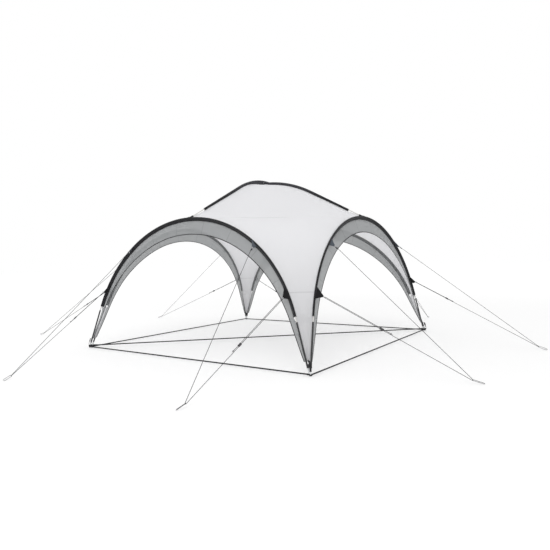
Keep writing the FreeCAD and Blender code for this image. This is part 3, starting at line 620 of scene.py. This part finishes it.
def canopy_rows(corner):
    """Rows from a corner's foot over its arch tops to the crown, with their seam distances."""
    heights = [CANOPY_FOOT + (HALF_ARCH - CANOPY_FOOT) * i / LEG_ROWS for i in range(LEG_ROWS + 1)]
    low_seam = long_at_height(LOWER_Z)
    heights = [h for h in heights if abs(h - low_seam) > SEAM_ROOM and h < HALF_ARCH - 0.014]
    heights += [low_seam + d for d in SEAM_ROWS] + [HALF_ARCH + d for d in SEAM_ROWS[:3]]
    rows, seams = [], []
    next_side = (corner + 1) % 4
    for long in sorted(heights):
        t = (long - CANOPY_FOOT) / (HALF_ARCH - CANOPY_FOOT)
        a = arch_point(corner, RIGHT_HAND, long, *canopy_edge(long))
        b = arch_point(next_side, LEFT_HAND, long, *canopy_edge(long))
        hollow = LEG_HOLLOW + (SEAM_HOLLOW - LEG_HOLLOW) * t
        rows.append((hollow_row(a, b, hollow, 0.0, ACROSS), t, False))
        seams.append(min(abs(long - low_seam), abs(long - HALF_ARCH)))
    reach = ROOF[0].half - RIDGE_SHORT
    top_a, top_b = rows[-1][0][0], rows[-1][0][-1]
    outs = [ROOF[0].half - d for d in (0.008, 0.016)]
    outs += [(ROOF[0].half - 0.03) * (1 - i / ROOF_ROWS) for i in range(ROOF_ROWS + 1)]
    for out in outs:
        q = 1 - out / ROOF[0].half
        a, b = ridge_point(corner, out), ridge_point(next_side, out)
        if out > reach:
            share = (ROOF[0].half - out) / RIDGE_SHORT
            a = top_a.lerp(ridge_point(corner, reach), share)
            b = top_b.lerp(ridge_point(next_side, reach), share)
        down = ROOF_HOLLOW * math.sin(math.pi * q)
        rows.append((hollow_row(a, b, SEAM_HOLLOW * (1 - q), down, ACROSS), q, True))
        seams.append(min((a - top_a).length, NO_SEAM))
    points = [row for row, _, _ in rows]
    shaped = []
    for i, (row, t, top) in enumerate(rows):
        before, after = points[max(i - 1, 0)], points[min(i + 1, len(points) - 1)]
        line = []
        for j, point in enumerate(row):
            down = after[j] - before[j]
            over = row[min(j + 1, ACROSS)] - row[max(j - 1, 0)]
            normal = over.cross(down)
            if normal.length > 1e-9 and 0 < j < ACROSS:
                point = point + normal.normalized() * fold_depth(corner, j / ACROSS, t, top, point)
            line.append(point)
        shaped.append(line)
    return shaped, [[d] * (ACROSS + 1) for d in seams]


HEM = [(-0.0035, -0.0012), (-0.0035, 0.0012), (0.006, 0.0013), (0.0064, 0.0), (0.006, -0.0013)]
HEM_STEPS = 18
HEM_UP = 0.01  # a hem runs this far up under the sleeve


def make_canopy(material):
    quarters = []
    for corner in range(4):
        rows, seams = canopy_rows(corner)
        quarters.append(strip_mesh("quarter", rows, seams=seams))
    canopy = link(joined("canopy", quarters, merge=0.0006), "canopy", material)
    for face in canopy.data.polygons:
        face.use_smooth = True
    thicken(canopy, CANOPY_T)
    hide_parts("canopy_roof", *["canopy_leg_" + name for name in CORNERS])
    hems = []
    for corner in range(4):
        for side, hand in ((corner, RIGHT_HAND), ((corner + 1) % 4, LEFT_HAND)):
            rows = []
            for i in range(HEM_STEPS + 1):
                long = CANOPY_FOOT + (LEG_RUN + HEM_UP - CANOPY_FOOT) * i / HEM_STEPS
                inward, out = canopy_edge(long)
                rows.append([arch_point(side, hand, long, inward + x, out + y) for x, y in HEM])
            hems.append(strip_mesh("hem", rows, loop=True))
    hem = link(joined("canopy_hems", hems), "canopy_hems", material)
    return canopy, hem


CROWN_RISE = 0.009  # of the looks' roof cloth above the CAD's at the crown
CROWN_STEPS = 16


def make_crown(material):
    """Square reinforcement that follows the roof under the crossed sleeves."""
    low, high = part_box("crown_patch")
    half = (high.x - low.x) / 2
    rows, seams = [], []
    for i in range(CROWN_STEPS + 1):
        row, marks = [], []
        for j in range(CROWN_STEPS + 1):
            x, y = half * (2 * i / CROWN_STEPS - 1), half * (2 * j / CROWN_STEPS - 1)
            drop = (x * x + y * y) / (2 * ROOF[0].r)
            row.append(Vector((x, y, high.z + CROWN_RISE - drop)))
            marks.append(half - max(abs(x), abs(y)))
        rows.append(row)
        seams.append(marks)
    crown = link(strip_mesh("crown_cloth", rows, seams=seams), "crown_cloth", material)
    thicken(crown, 0.0016, 1.0)
    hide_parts("crown_patch")
    return crown


# ---- rod sleeves ----
SLEEVE_STEPS = 176
ROOF_SLEEVE_STEPS = 120
PUCKER = 0.035  # share of its radius by which a pocket wanders
FLAP = 0.035
FLAP_SLANT = 0.8
LINING_T = 0.0007
LINING = [(0.009, 0.0085), (0.006, 0.0118), (0.0, 0.0132), (-0.006, 0.0128)]
LINING += [(-0.013, 0.0118), (-0.022, 0.0150), (-0.034, 0.0215)]


def pocket(r, flap, flap_share=1.0):
    """Section of a rod pocket, and each point's distance from a line of stitches.

    Its flap ends `flap` below the rod, or nearer by its share.
    """
    line = -r - 0.0018
    deep = line - 0.0012 - (flap + line + 0.0012) * flap_share
    turns = [math.radians(d) for d in range(0, 160, 16)]
    side = [(r * math.cos(a), r * math.sin(a)) for a in turns]
    side += [(line, 0.0016), (line - 0.003, 0.0014), ((line + deep) / 2, 0.0014)]
    side += [(deep + 0.001, 0.0014), (deep, 0.0008)]
    other = [(out, -across) for out, across in reversed(side[1:])]
    points = side + other
    return points, [min(abs(out - line), abs(out - deep - 0.003)) for out, _ in points]


def off_bend(side, normal, out, across):
    """Place off the axis of an arch's bend, where its normal is `normal`."""
    return ARCHES[side] @ (ARC_MID + normal * (ARC_R + out) + Vector((0, across, 0)))


def make_arch_sleeves(material, lining):
    for side, name in enumerate(SIDES):
        rows, seams, backs = [], [], []
        for i in range(SLEEVE_STEPS + 1):
            angle = ARC_TURN * (2 * i / SLEEVE_STEPS - 1)
            normal = Vector((math.sin(angle), 0, math.cos(angle)))
            along = angle * ARC_R
            pucker = 1 + PUCKER * noise.noise(Vector((along * 9, side * 3.3, 0.4)))
            sway = 0.0012 * noise.noise(Vector((along * 6, side * 5.1, 7.7)))
            section, marks = pocket(SLEEVE_R * pucker, FLAP)
            row = []
            for out, across in section:
                lean = sway * ease(-out / FLAP) + FLAP_SLANT * max(-out - SLEEVE_R, 0.0)
                row.append(off_bend(side, normal, out, across + lean))
            rows.append(row)
            seams.append(marks)
            backs.append([off_bend(side, normal, out, across) for out, across in LINING])
        mesh = strip_mesh("sleeve", rows, loop=True, seams=seams)
        sleeve = link(mesh, "rod_sleeve_" + name, material)
        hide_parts("arch_sleeve_" + name)
        mesh = strip_mesh("lining", backs, seams=[[NO_SEAM] * len(LINING)] * len(backs))
        back = link(mesh, "sleeve_lining_" + name, lining)
        thicken(back, LINING_T)


def make_roof_sleeves(material):
    for pair, name in enumerate(("upper", "lower")):
        line = ROOF[pair]
        reach = line.half - ROOF_SLEEVE_SHORTS[pair]
        turn = Matrix.Rotation(line.turn + math.pi / 2 * pair, 4, "Z")
        rows, seams = [], []
        for i in range(ROOF_SLEEVE_STEPS + 1):
            out = reach * (2 * i / ROOF_SLEEVE_STEPS - 1)
            point, normal = line.at(out)
            pucker = 1 + PUCKER * noise.noise(Vector((out * 9, pair * 2.7, 1.9)))
            share = 1.0 if pair else ease((abs(out) - 0.016) / 0.04)
            section, marks = pocket(ROOF_SLEEVE_R * pucker, ridge_drop(pair, out) + 0.001, share)
            rows.append([turn @ (point + normal * y + Vector((0, x, 0))) for y, x in section])
            seams.append(marks)
        mesh = strip_mesh("sleeve", rows, loop=True, seams=seams)
        sleeve = link(mesh, "ridge_sleeve_" + name, material)
        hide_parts("roof_sleeve_" + name)


# ---- valances ----
SEAM_STEP = 0.455
VALANCE_STEPS = 110
VALANCE_DROPS = 10  # rows of faces down it
VALANCE_T = 0.0009
TAPE_LOW = 0.0025  # the binding's middle below the cloth's edge
TAPE = [(0.0045, -0.0013), (0.0045, 0.0013), (-0.001, 0.0019), (-0.0035, 0.0012)]
TAPE += [(-0.0042, 0.0), (-0.0035, -0.0012), (-0.001, -0.0019)]


def valance_depth(long):
    share = min(long / HALF_ARCH, 1.0)
    return VALANCE_DEPTH * (1 - (1 - share) ** VALANCE_POWER)


def ripple(side, along, share):
    """How far the valance stands out of its arch's plane."""
    slow = noise.noise(Vector((along * 1.6, side * 4.7, 0.2))) * 0.009
    quick = noise.noise(Vector((along * 9.0, side * 2.9, 5.3))) * 0.0025
    return (slow * share + quick * math.sin(math.pi * min(share, 0.9))) * 0.8


def make_valances(material, tape):
    half_seams = [SEAM_STEP * (i + 0.5) for i in range(5)]
    spots = {round(s + d, 4) for s in half_seams for d in SEAM_ROWS}
    steps = range(VALANCE_STEPS + 1)
    spots |= {round((HALF_ARCH - VALANCE_FOOT) * i / VALANCE_STEPS, 4) for i in steps}
    spots = sorted(spots)
    offs = [-s for s in reversed(spots[1:])] + spots
    for side, name in enumerate(SIDES):
        rows, seams, edges = [], [], []
        for off in offs:
            long = HALF_ARCH - abs(off)
            point, _, normal = arch_flat(RIGHT_HAND if off > 0 else LEFT_HAND, long)
            held = ease((long - LEG_RUN + 0.03) / 0.03)
            low = ease((long - VALANCE_FOOT) / (LEG_RUN - VALANCE_FOOT - 0.03))
            top = 0.011 + 0.012 * low + 0.009 * held
            deep = max(valance_depth(long), top + 0.004)
            row = []
            for j in range(VALANCE_DROPS + 1):
                share = j / VALANCE_DROPS
                sink = top + (deep - top) * share
                stand = ripple(side, off, share) + 0.017 * low * (1 - share) ** 2
                row.append(ARCHES[side] @ (point - normal * sink + Vector((0, stand, 0))))
            rows.append(row)
            seams.append([min(abs(abs(off) - s) for s in half_seams)] * (VALANCE_DROPS + 1))
            centre = point - normal * (deep + TAPE_LOW) + Vector((0, ripple(side, off, 1.0), 0))
            edges.append([ARCHES[side] @ (centre + normal * x + Vector((0, y, 0))) for x, y in TAPE])
        mesh = strip_mesh("valance", rows, seams=seams)
        cloth_piece = link(mesh, "door_valance_" + name, material)
        thicken(cloth_piece, VALANCE_T)
        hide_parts("valance_" + name)
        binding = link(strip_mesh("tape", edges, loop=True), "valance_tape_" + name, tape)
        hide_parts("valance_bindings")


# ---- webbing ----
WEB_SECTION = [(-0.99, -0.55), (-0.94, -1.0), (-0.5, -0.86), (0.0, -0.9)]
WEB_SECTION += [(0.5, -0.86), (0.94, -1.0), (0.99, -0.55)]
WEB_SECTION += [(x, -y) for x, y in reversed(WEB_SECTION)]
BELT_STEPS = 24


def band(path, width, wide, loop=False):
    """Webbing along a path, its width in the direction `width`."""
    rows, count = [], len(path)
    for i, point in enumerate(path):
        ahead = path[(i + 1) % count] if loop else path[min(i + 1, count - 1)]
        behind = path[i - 1] if loop or i else path[0]
        face = (ahead - behind).normalized().cross(width).normalized()
        half = wide / 2
        rows.append([point + width * (half * x) + face * (WEB_T / 2 * y) for x, y in WEB_SECTION])
    if loop:
        rows.append(list(rows[0]))
    return strip_mesh("strap", rows, loop=True)


def foot_point(side, hand, height):
    return arch_point(side, hand, height / math.cos(LEG_LEAN) / math.cos(ARCH_TILT))


def belt(a, b, r, height):
    """Path of webbing on edge, round two feet and doubled between them."""
    a, b = Vector((a.x, a.y, height)), Vector((b.x, b.y, height))
    reach = (b - a).normalized()
    square = Z.cross(reach)
    around = r + WEB_T / 2 + 0.0002
    pinch = around * 2.6
    turns = [math.radians(d) for d in range(62, 299, 18)]
    ends = []
    for centre, ahead in ((a, reach), (b, -reach)):
        aside = Z.cross(ahead)
        ends.append([centre + (ahead * math.cos(w) + aside * math.sin(w)) * around for w in turns])
    long = (b - a).length
    inner = [pinch + (long - 2 * pinch) * i / BELT_STEPS for i in range(BELT_STEPS + 1)]
    gap = WEB_T * 0.54
    path = list(ends[0])
    path += [a + reach * d - square * (gap + 0.0006 * math.sin(d * 5)) for d in inner]
    path += ends[1]
    path += [b - reach * d + square * (gap - 0.0006 * math.sin(d * 5)) for d in inner]
    return path


def node_level(node_name):
    low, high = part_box(node_name)
    return (low.z + high.z) / 2


def ground_strap(name, a, b, r, level, material):
    mesh = band(belt(a, b, r, level), Z, GROUND_WEB, True)
    strap = link(mesh, "base_strap_" + name, material)
    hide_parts("ground_strap_" + name)


def make_straps(material):
    level = node_level("ground_strap_front")
    for side, name in enumerate(SIDES):
        feet = [foot_point(side, hand, level) for hand in (LEFT_HAND, RIGHT_HAND)]
        ground_strap(name, *feet, LOOP_R, level, material)
    level = node_level("ground_strap_diagonal")
    ends = [corner_middle(corner, level) for corner in (3, 1)]
    ground_strap("diagonal", *ends, CROSS_LOOP_R, level, material)


def corner_middle(corner, height):
    feet = foot_point(corner, RIGHT_HAND, height), foot_point((corner + 1) % 4, LEFT_HAND, height)
    return (feet[0] + feet[1]) * 0.5


# Distance out of the buckle's middle and height above it, round a bar and on to the web.
UP_BEND = [(0.0, -0.006), (0.0042, -0.003), (0.0042, 0.006), (0.0006, 0.012), (0.0, 0.020)]


def make_corner_straps(material):
    for corner, name in enumerate(CORNERS):
        middle = corner_middle(corner, BUCKLE_Z)
        up = (corner_middle(corner, 2 * BUCKLE_Z) - middle).normalized()
        across = Z.cross(Vector((middle.x, middle.y, 0)).normalized())
        out = across.cross(up)
        at = middle + out * BUCKLE_OUT
        legs = ((corner, RIGHT_HAND), ((corner + 1) % 4, LEFT_HAND))
        ends = [arch_point(side, hand, CANOPY_FOOT, 0.014) for side, hand in legs]
        cloth_end = (ends[0] + ends[1]) * 0.5 + Z * 0.012
        upper = [at + up * y + out * x for x, y in UP_BEND]
        upper += [upper[-1].lerp(cloth_end, s) for s in (0.35, 0.7, 1.0)]
        lower = [at - up * y - out * x for x, y in UP_BEND]
        for s in (0.3, 0.6, 0.85, 1.0):
            drop = 0.020 + (STRAP_DROP - 0.020) * s
            lower.append(at - up * drop + out * (0.001 * math.sin(3 * s)))
        mesh = joined("strap", [band(path, across, WEB) for path in (upper, lower)])
        strap = link(mesh, "tension_strap_" + name, material)
        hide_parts("corner_straps")


# ---- guy sets ----
class Guy:
    """Places and directions of one guy set, all in the plane of its two lines."""

    def __init__(self, side, hand):
        peg_x, peg_y, share, self.long = GUYS[(side, hand)]
        self.low_long = long_at_height(LOWER_Z)
        self.up_long = long_at_height(UPPER_Z)
        self.low = arch_point(side, hand, self.low_long)
        self.up = arch_point(side, hand, self.up_long)
        self.peg = Vector((peg_x, peg_y, PEG_Z))
        inward = self.low - self.peg
        inward.z = 0
        level = math.sqrt(PEG_LOOP_LONG**2 - (EYE_Z - self.peg.z) ** 2)
        self.eye = self.peg + inward.normalized() * level + Z * (EYE_Z - self.peg.z)
        self.side = (self.low - self.eye).cross(self.up - self.eye).normalized()
        self.low_dir = (self.eye - self.low).normalized()
        self.up_dir = (self.eye - self.up).normalized()
        reach = SLEEVE_R + LOWER_PATCH[1] - PATCH_HOLE_IN + 2 * RING_R
        self.low_ring = self.low + self.low_dir * reach
        reach = SLEEVE_R + UPPER_PATCH[1] - PATCH_HOLE_IN + 2 * RING_R
        self.up_ring = self.up + self.up_dir * reach
        self.above = self.side.cross(self.up_dir)
        self.above *= 1 if self.above.z > 0 else -1
        self.over = self.side.cross(self.low_dir)
        self.over *= 1 if self.over.z > 0 else -1
        self.run = (self.eye - self.low_ring).length
        self.runner_at = self.low_ring + self.low_dir * (self.run * share)
        self.tail_end = self.runner_at + self.low_dir * TAIL + self.over * TURN_R
        turned = ARCHES[side].to_3x3()
        self.low_tangent = turned @ arch_flat(hand, self.low_long)[1]
        self.up_tangent = turned @ arch_flat(hand, self.up_long)[1]


STEP_OFF = 0.024
EYE_END = 0.030
CORNER_OUT = TURN_R / math.cos(math.radians(30))
CORNER_SIDE = TURN_R * math.tan(math.radians(30))


def guy_route(guy):
    """The cord's points: sewn eye, upper ring, peg loop, lower ring, and back through the runner."""
    u, a = guy.up_dir, guy.above * TURN_R
    d, o = guy.low_dir, guy.over * TURN_R
    up, eye, low = guy.up_ring, guy.eye, guy.low_ring
    back = (d + u).normalized()
    return [
        up + u * EYE_END - a,
        up + u * STEP_OFF - a,
        up - u * CORNER_SIDE - a,
        up - u * CORNER_OUT,
        up - u * CORNER_SIDE + a,
        up + u * STEP_OFF + a,
        eye - u * STEP_OFF + a,
        eye + u * CORNER_SIDE + a,
        eye + back * CORNER_OUT,
        eye + d * CORNER_SIDE - o,
        eye - d * STEP_OFF - o,
        low + d * STEP_OFF - o,
        low - d * CORNER_SIDE - o,
        low - d * CORNER_OUT,
        low - d * CORNER_SIDE + o,
        low + d * STEP_OFF + o,
        guy.tail_end,
    ]


def cord_curve(name, route, radius, material):
    curve = bpy.data.curves.new(name, "CURVE")
    curve.dimensions = "3D"
    spline = curve.splines.new("NURBS")
    spline.points.add(len(route) - 1)
    for point, place in zip(spline.points, route):
        point.co = (*place, 1.0)
    spline.order_u = 3
    spline.use_endpoint_u = True
    spline.resolution_u = 6
    curve.bevel_depth = radius
    curve.bevel_resolution = 3
    return link(curve, name, material)


def tube(path, radius, around=8):
    """Round strand along a path of points."""
    turns = [2 * math.pi * k / around for k in range(around)]
    rows, side = [], None
    for i, point in enumerate(path):
        ahead = (path[min(i + 1, len(path) - 1)] - path[max(i - 1, 0)]).normalized()
        side = ahead.orthogonal() if side is None else side - ahead * side.dot(ahead)
        side.normalize()
        up = ahead.cross(side)
        rows.append([point + (side * math.cos(w) + up * math.sin(w)) * radius for w in turns])
    return strip_mesh("strand", rows, loop=True)


KNOT_STEPS = 48
KNOT_WIDE = 0.0016
KNOT_DEEP = 0.0024


def stopper_knot(guy):
    """Overhand knot at the cord's end, with a short whisker of cord past it."""
    d, o, s = guy.low_dir, guy.over, guy.side
    path = []
    for i in range(KNOT_STEPS + 1):
        w = 2 * math.pi * (i / KNOT_STEPS) * 0.96 + 0.1
        x = math.sin(w) + 2 * math.sin(2 * w)
        y = math.cos(w) - 2 * math.cos(2 * w)
        deep = math.sin(3 * w) * KNOT_DEEP
        path.append(guy.tail_end + o * (x * KNOT_WIDE) + s * (y * KNOT_WIDE) - d * deep)
    tail = [guy.tail_end + d * (0.002 + 0.013 * k / 4) + o * (0.0010 * k / 4) for k in range(5)]
    return joined("knot", [tube(path, CORD_R), tube(tail, CORD_R)])


THREAD_TURNS = 10
THREAD_STEPS = 16  # in a turn
THREAD_R = 0.0008
WHIPPING = (0.0155, 0.013)  # its start along the guy, and its length
WHIPPING_HALF = (0.0080, 0.0034)


def whipping(guy):
    """Thread wound round the two strands of the sewn eye."""
    path = []
    steps = THREAD_TURNS * THREAD_STEPS
    for i in range(steps + 1):
        w = 2 * math.pi * i / THREAD_STEPS
        far = WHIPPING[0] + WHIPPING[1] * i / steps
        high, wide = math.cos(w) * WHIPPING_HALF[0], math.sin(w) * WHIPPING_HALF[1]
        path.append(guy.up_ring + guy.up_dir * far + guy.above * high + guy.side * wide)
    return tube(path, THREAD_R, 6)


PATCH_STEPS = 14
PATCH_ACROSS = 12
PATCH_HALF_T = 0.0012
PATCH_TIP_HALF = 0.007
PATCH_FOOT = 0.006  # from the pole's axis to the patch's base


def patch_mesh(base, tangent, reach_dir, side, half_base, reach):
    """Sewn triangle of webbing cloth with a folded edge, on both faces of the sleeve's flap."""
    flat = (tangent - side * tangent.dot(side)).normalized()
    across = side.cross(reach_dir)
    lift = across * (PATCH_TIP_HALF if across.dot(flat) > 0 else -PATCH_TIP_HALF)
    foot = [base + flat * end * half_base + reach_dir * PATCH_FOOT for end in (-1, 1)]
    top = base + reach_dir * (SLEEVE_R + reach)
    rows, seams = [], []
    for i in range(PATCH_STEPS + 1):
        t = i / PATCH_STEPS
        left, right = foot[0].lerp(top - lift, t), foot[1].lerp(top + lift, t)
        outer, inner, marks = [], [], []
        for j in range(PATCH_ACROSS + 1):
            s = j / PATCH_ACROSS
            edge = min(s, 1 - s) * (right - left).length
            puff = PATCH_HALF_T + PATCH_HALF_T * ease(edge / 0.006) * ease((1 - t) * 8)
            point = left.lerp(right, s) + side * puff
            outer.append(point)
            inner.append(point - side * (2 * puff))
            marks.append(edge)
        rows.append(outer + inner[::-1])
        seams.append(marks + marks[::-1])
    mesh = strip_mesh("patch", rows, loop=True, seams=seams)
    edit = bmesh.new()
    edit.from_mesh(mesh)
    bmesh.ops.holes_fill(edit, edges=[e for e in edit.edges if e.is_boundary], sides=0)
    edit.to_mesh(mesh)
    edit.free()
    return mesh


def make_guys(materials):
    lower, upper = [], []
    for side, hand in GUYS:
        guy = Guy(side, hand)
        name = SIDES[side] + "_" + HAND_NAMES[hand]
        line = cord_curve("guy_line_" + name, guy_route(guy), CORD_R, materials["cord"])
        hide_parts("guy_" + name)
        mesh = joined("ends", [stopper_knot(guy), whipping(guy)])
        ends = link(mesh, "guy_knots_" + name, materials["cord"])
        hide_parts("guy_knots")
        lower.append(patch_mesh(guy.low, guy.low_tangent, guy.low_dir, guy.side, *LOWER_PATCH))
        upper.append(patch_mesh(guy.up, guy.up_tangent, guy.up_dir, guy.side, *UPPER_PATCH))
    for which, meshes, slot in (("lower", lower, "patch_black"), ("upper", upper, "patch_slate")):
        name = "patches_" + which
        piece = link(joined(name, meshes), name, materials[slot])
        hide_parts("guy_" + name)


# ---- carried-over CAD nodes ----
def dress(node_name, material, bevel=0.0):
    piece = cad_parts[node_name]
    piece.data.materials.clear()
    piece.data.materials.append(material)
    if bevel:
        soften(piece, bevel)


def dress_cad(materials):
    for name in SIDES:
        dress("arch_pole_" + name, materials["fibreglass"])
    for name in CORNERS:
        dress("leg_tubes_" + name, materials["leg_steel"], 0.0006)
    dress("roof_pole_lower", materials["fibreglass"])
    dress("roof_pole_upper", materials["fibreglass"])
    dress("foot_tips", materials["foot_metal"], 0.0005)
    dress("corner_buckles", materials["buckle_plastic"], 0.0007)
    dress("apex_pockets", materials["buckle_plastic"], 0.0008)
    dress("guy_rings", materials["ring_steel"])
    dress("peg_loops", materials["elastic"])
    for side, hand in GUYS:
        dress("runner_" + SIDES[side] + "_" + HAND_NAMES[hand], materials["runner_plastic"])


# ---- stage ----
FLOOR_REACH = 60.0
FLOOR_Z = -0.0005
FLOOR_GLOW = (0.35, 0.08)  # under the shelter, and how much more it is far out
GLOW_RISES = (4.5, 14.0)  # distances from the middle between which it grows
LIGHTS = (("key", (3.5, -7.5, 8.0), 215.0), ("fill", (-8.0, -3.0, 5.5), 80.0))
LIGHT_SIZE = 7.0
LIGHTS_AIM = Vector((0, 0, 1.0))
WHITE = (1.0, 1.0, 1.0, 1.0)


def make_stage():
    world = bpy.data.worlds.new("studio")
    bpy.context.scene.world = world
    world.use_nodes = True
    sky = world.node_tree.nodes["Background"]
    sky.inputs[0].default_value = WHITE
    sky.inputs[1].default_value = 1.0
    mesh = bpy.data.meshes.new("floor")
    corners = [(x * FLOOR_REACH, y * FLOOR_REACH, 0) for x, y in ((-1, -1), (1, -1), (1, 1), (-1, 1))]
    mesh.from_pydata(corners, [], [(0, 1, 2, 3)])
    floor = bpy.data.objects.new("floor", mesh)
    floor.location = (0, 0, FLOOR_Z)
    bpy.context.scene.collection.objects.link(floor)
    material, tree, shader = new_material("studio_floor", (0.58, 0.58, 0.58), 0.9)
    constants(shader, {"Specular IOR Level": 0.1})
    where = node(tree, "ShaderNodeTexCoord").outputs["Object"]
    far = node(tree, "ShaderNodeVectorMath", {0: where}, operation="LENGTH").outputs["Value"]
    more = scaled(tree, ramp(tree, far, *GLOW_RISES), FLOOR_GLOW[1])
    plug(tree, shader.inputs["Emission Color"], WHITE)
    plug(tree, shader.inputs["Emission Strength"], calc(tree, "ADD", FLOOR_GLOW[0], more))
    mesh.materials.append(material)
    for name, place, power in LIGHTS:
        light = bpy.data.lights.new(name, "AREA")
        light.shape = "DISK"
        light.size = LIGHT_SIZE
        light.energy = power
        lamp = bpy.data.objects.new(name, light)
        lamp.location = place
        lamp.rotation_euler = (LIGHTS_AIM - Vector(place)).to_track_quat("-Z", "Y").to_euler()
        bpy.context.scene.collection.objects.link(lamp)
    bpy.context.scene.view_settings.view_transform = "Standard"


make_camera()
MATERIALS = {
    # Painted shade: the canopy's colour is made darker towards the bottom of its legs.
    "canopy_fabric": cloth(
        "canopy_fabric", (0.89, 0.89, 0.90), 0.0006, vary=0.012, sheen=0.05, seam_along="u",
        thin=0.62, fade=(1.5, 0.1, 0.4, 0.6)),
    "valance_fabric": cloth(
        "valance_fabric", (0.42, 0.43, 0.435), 0.0009, vary=0.06, seam_along="u", thin=0.5,
        clear=0.30),
    # Painted light: the sleeves' colour is made up to three times lighter high on the roof, where
    # they face the sky.
    "sleeve_fabric": cloth(
        "sleeve_fabric", (0.017, 0.017, 0.019), 0.0009, vary=0.15, seam_half=0.0012, shine=0.15,
        fade=(1.9, 2.25, 1.0, 3.0)),
    "binding_tape": webbing("binding_tape", (0.035, 0.035, 0.037)),
    "fibreglass": glass_fibre("fibreglass", (0.62, 0.61, 0.59)),
    "leg_steel": coated("leg_steel", (0.022, 0.022, 0.024)),
    "foot_metal": metal("foot_metal", (0.72, 0.73, 0.74), 0.35, 9.0),
    "webbing": webbing("webbing", (0.026, 0.026, 0.028)),
    "buckle_plastic": plastic("buckle_plastic", (0.012, 0.012, 0.013)),
    "patch_black": cloth(
        "patch_black", (0.010, 0.010, 0.011), 0.0010, vary=0.15, sheen=0.05, seam_half=0.005,
        shine=0.1),
    "patch_slate": cloth(
        "patch_slate", (0.060, 0.070, 0.085), 0.0010, vary=0.12, seam_half=0.005),
    "ring_steel": metal("ring_steel", (0.55, 0.55, 0.56), 0.3, 3.0),
    "cord": braid("cord", (0.022, 0.022, 0.024)),
    "runner_plastic": plastic("runner_plastic", (0.03, 0.03, 0.032)),
    "elastic": braid("elastic", (0.10, 0.10, 0.105), 0.0016),
}
make_guys(MATERIALS)
make_arch_sleeves(MATERIALS["sleeve_fabric"], MATERIALS["valance_fabric"])
make_roof_sleeves(MATERIALS["sleeve_fabric"])
canopy, hems = make_canopy(MATERIALS["canopy_fabric"])
crown = make_crown(MATERIALS["canopy_fabric"])
make_valances(MATERIALS["valance_fabric"], MATERIALS["binding_tape"])
make_straps(MATERIALS["webbing"])
make_corner_straps(MATERIALS["webbing"])
dress_cad(MATERIALS)
make_stage()
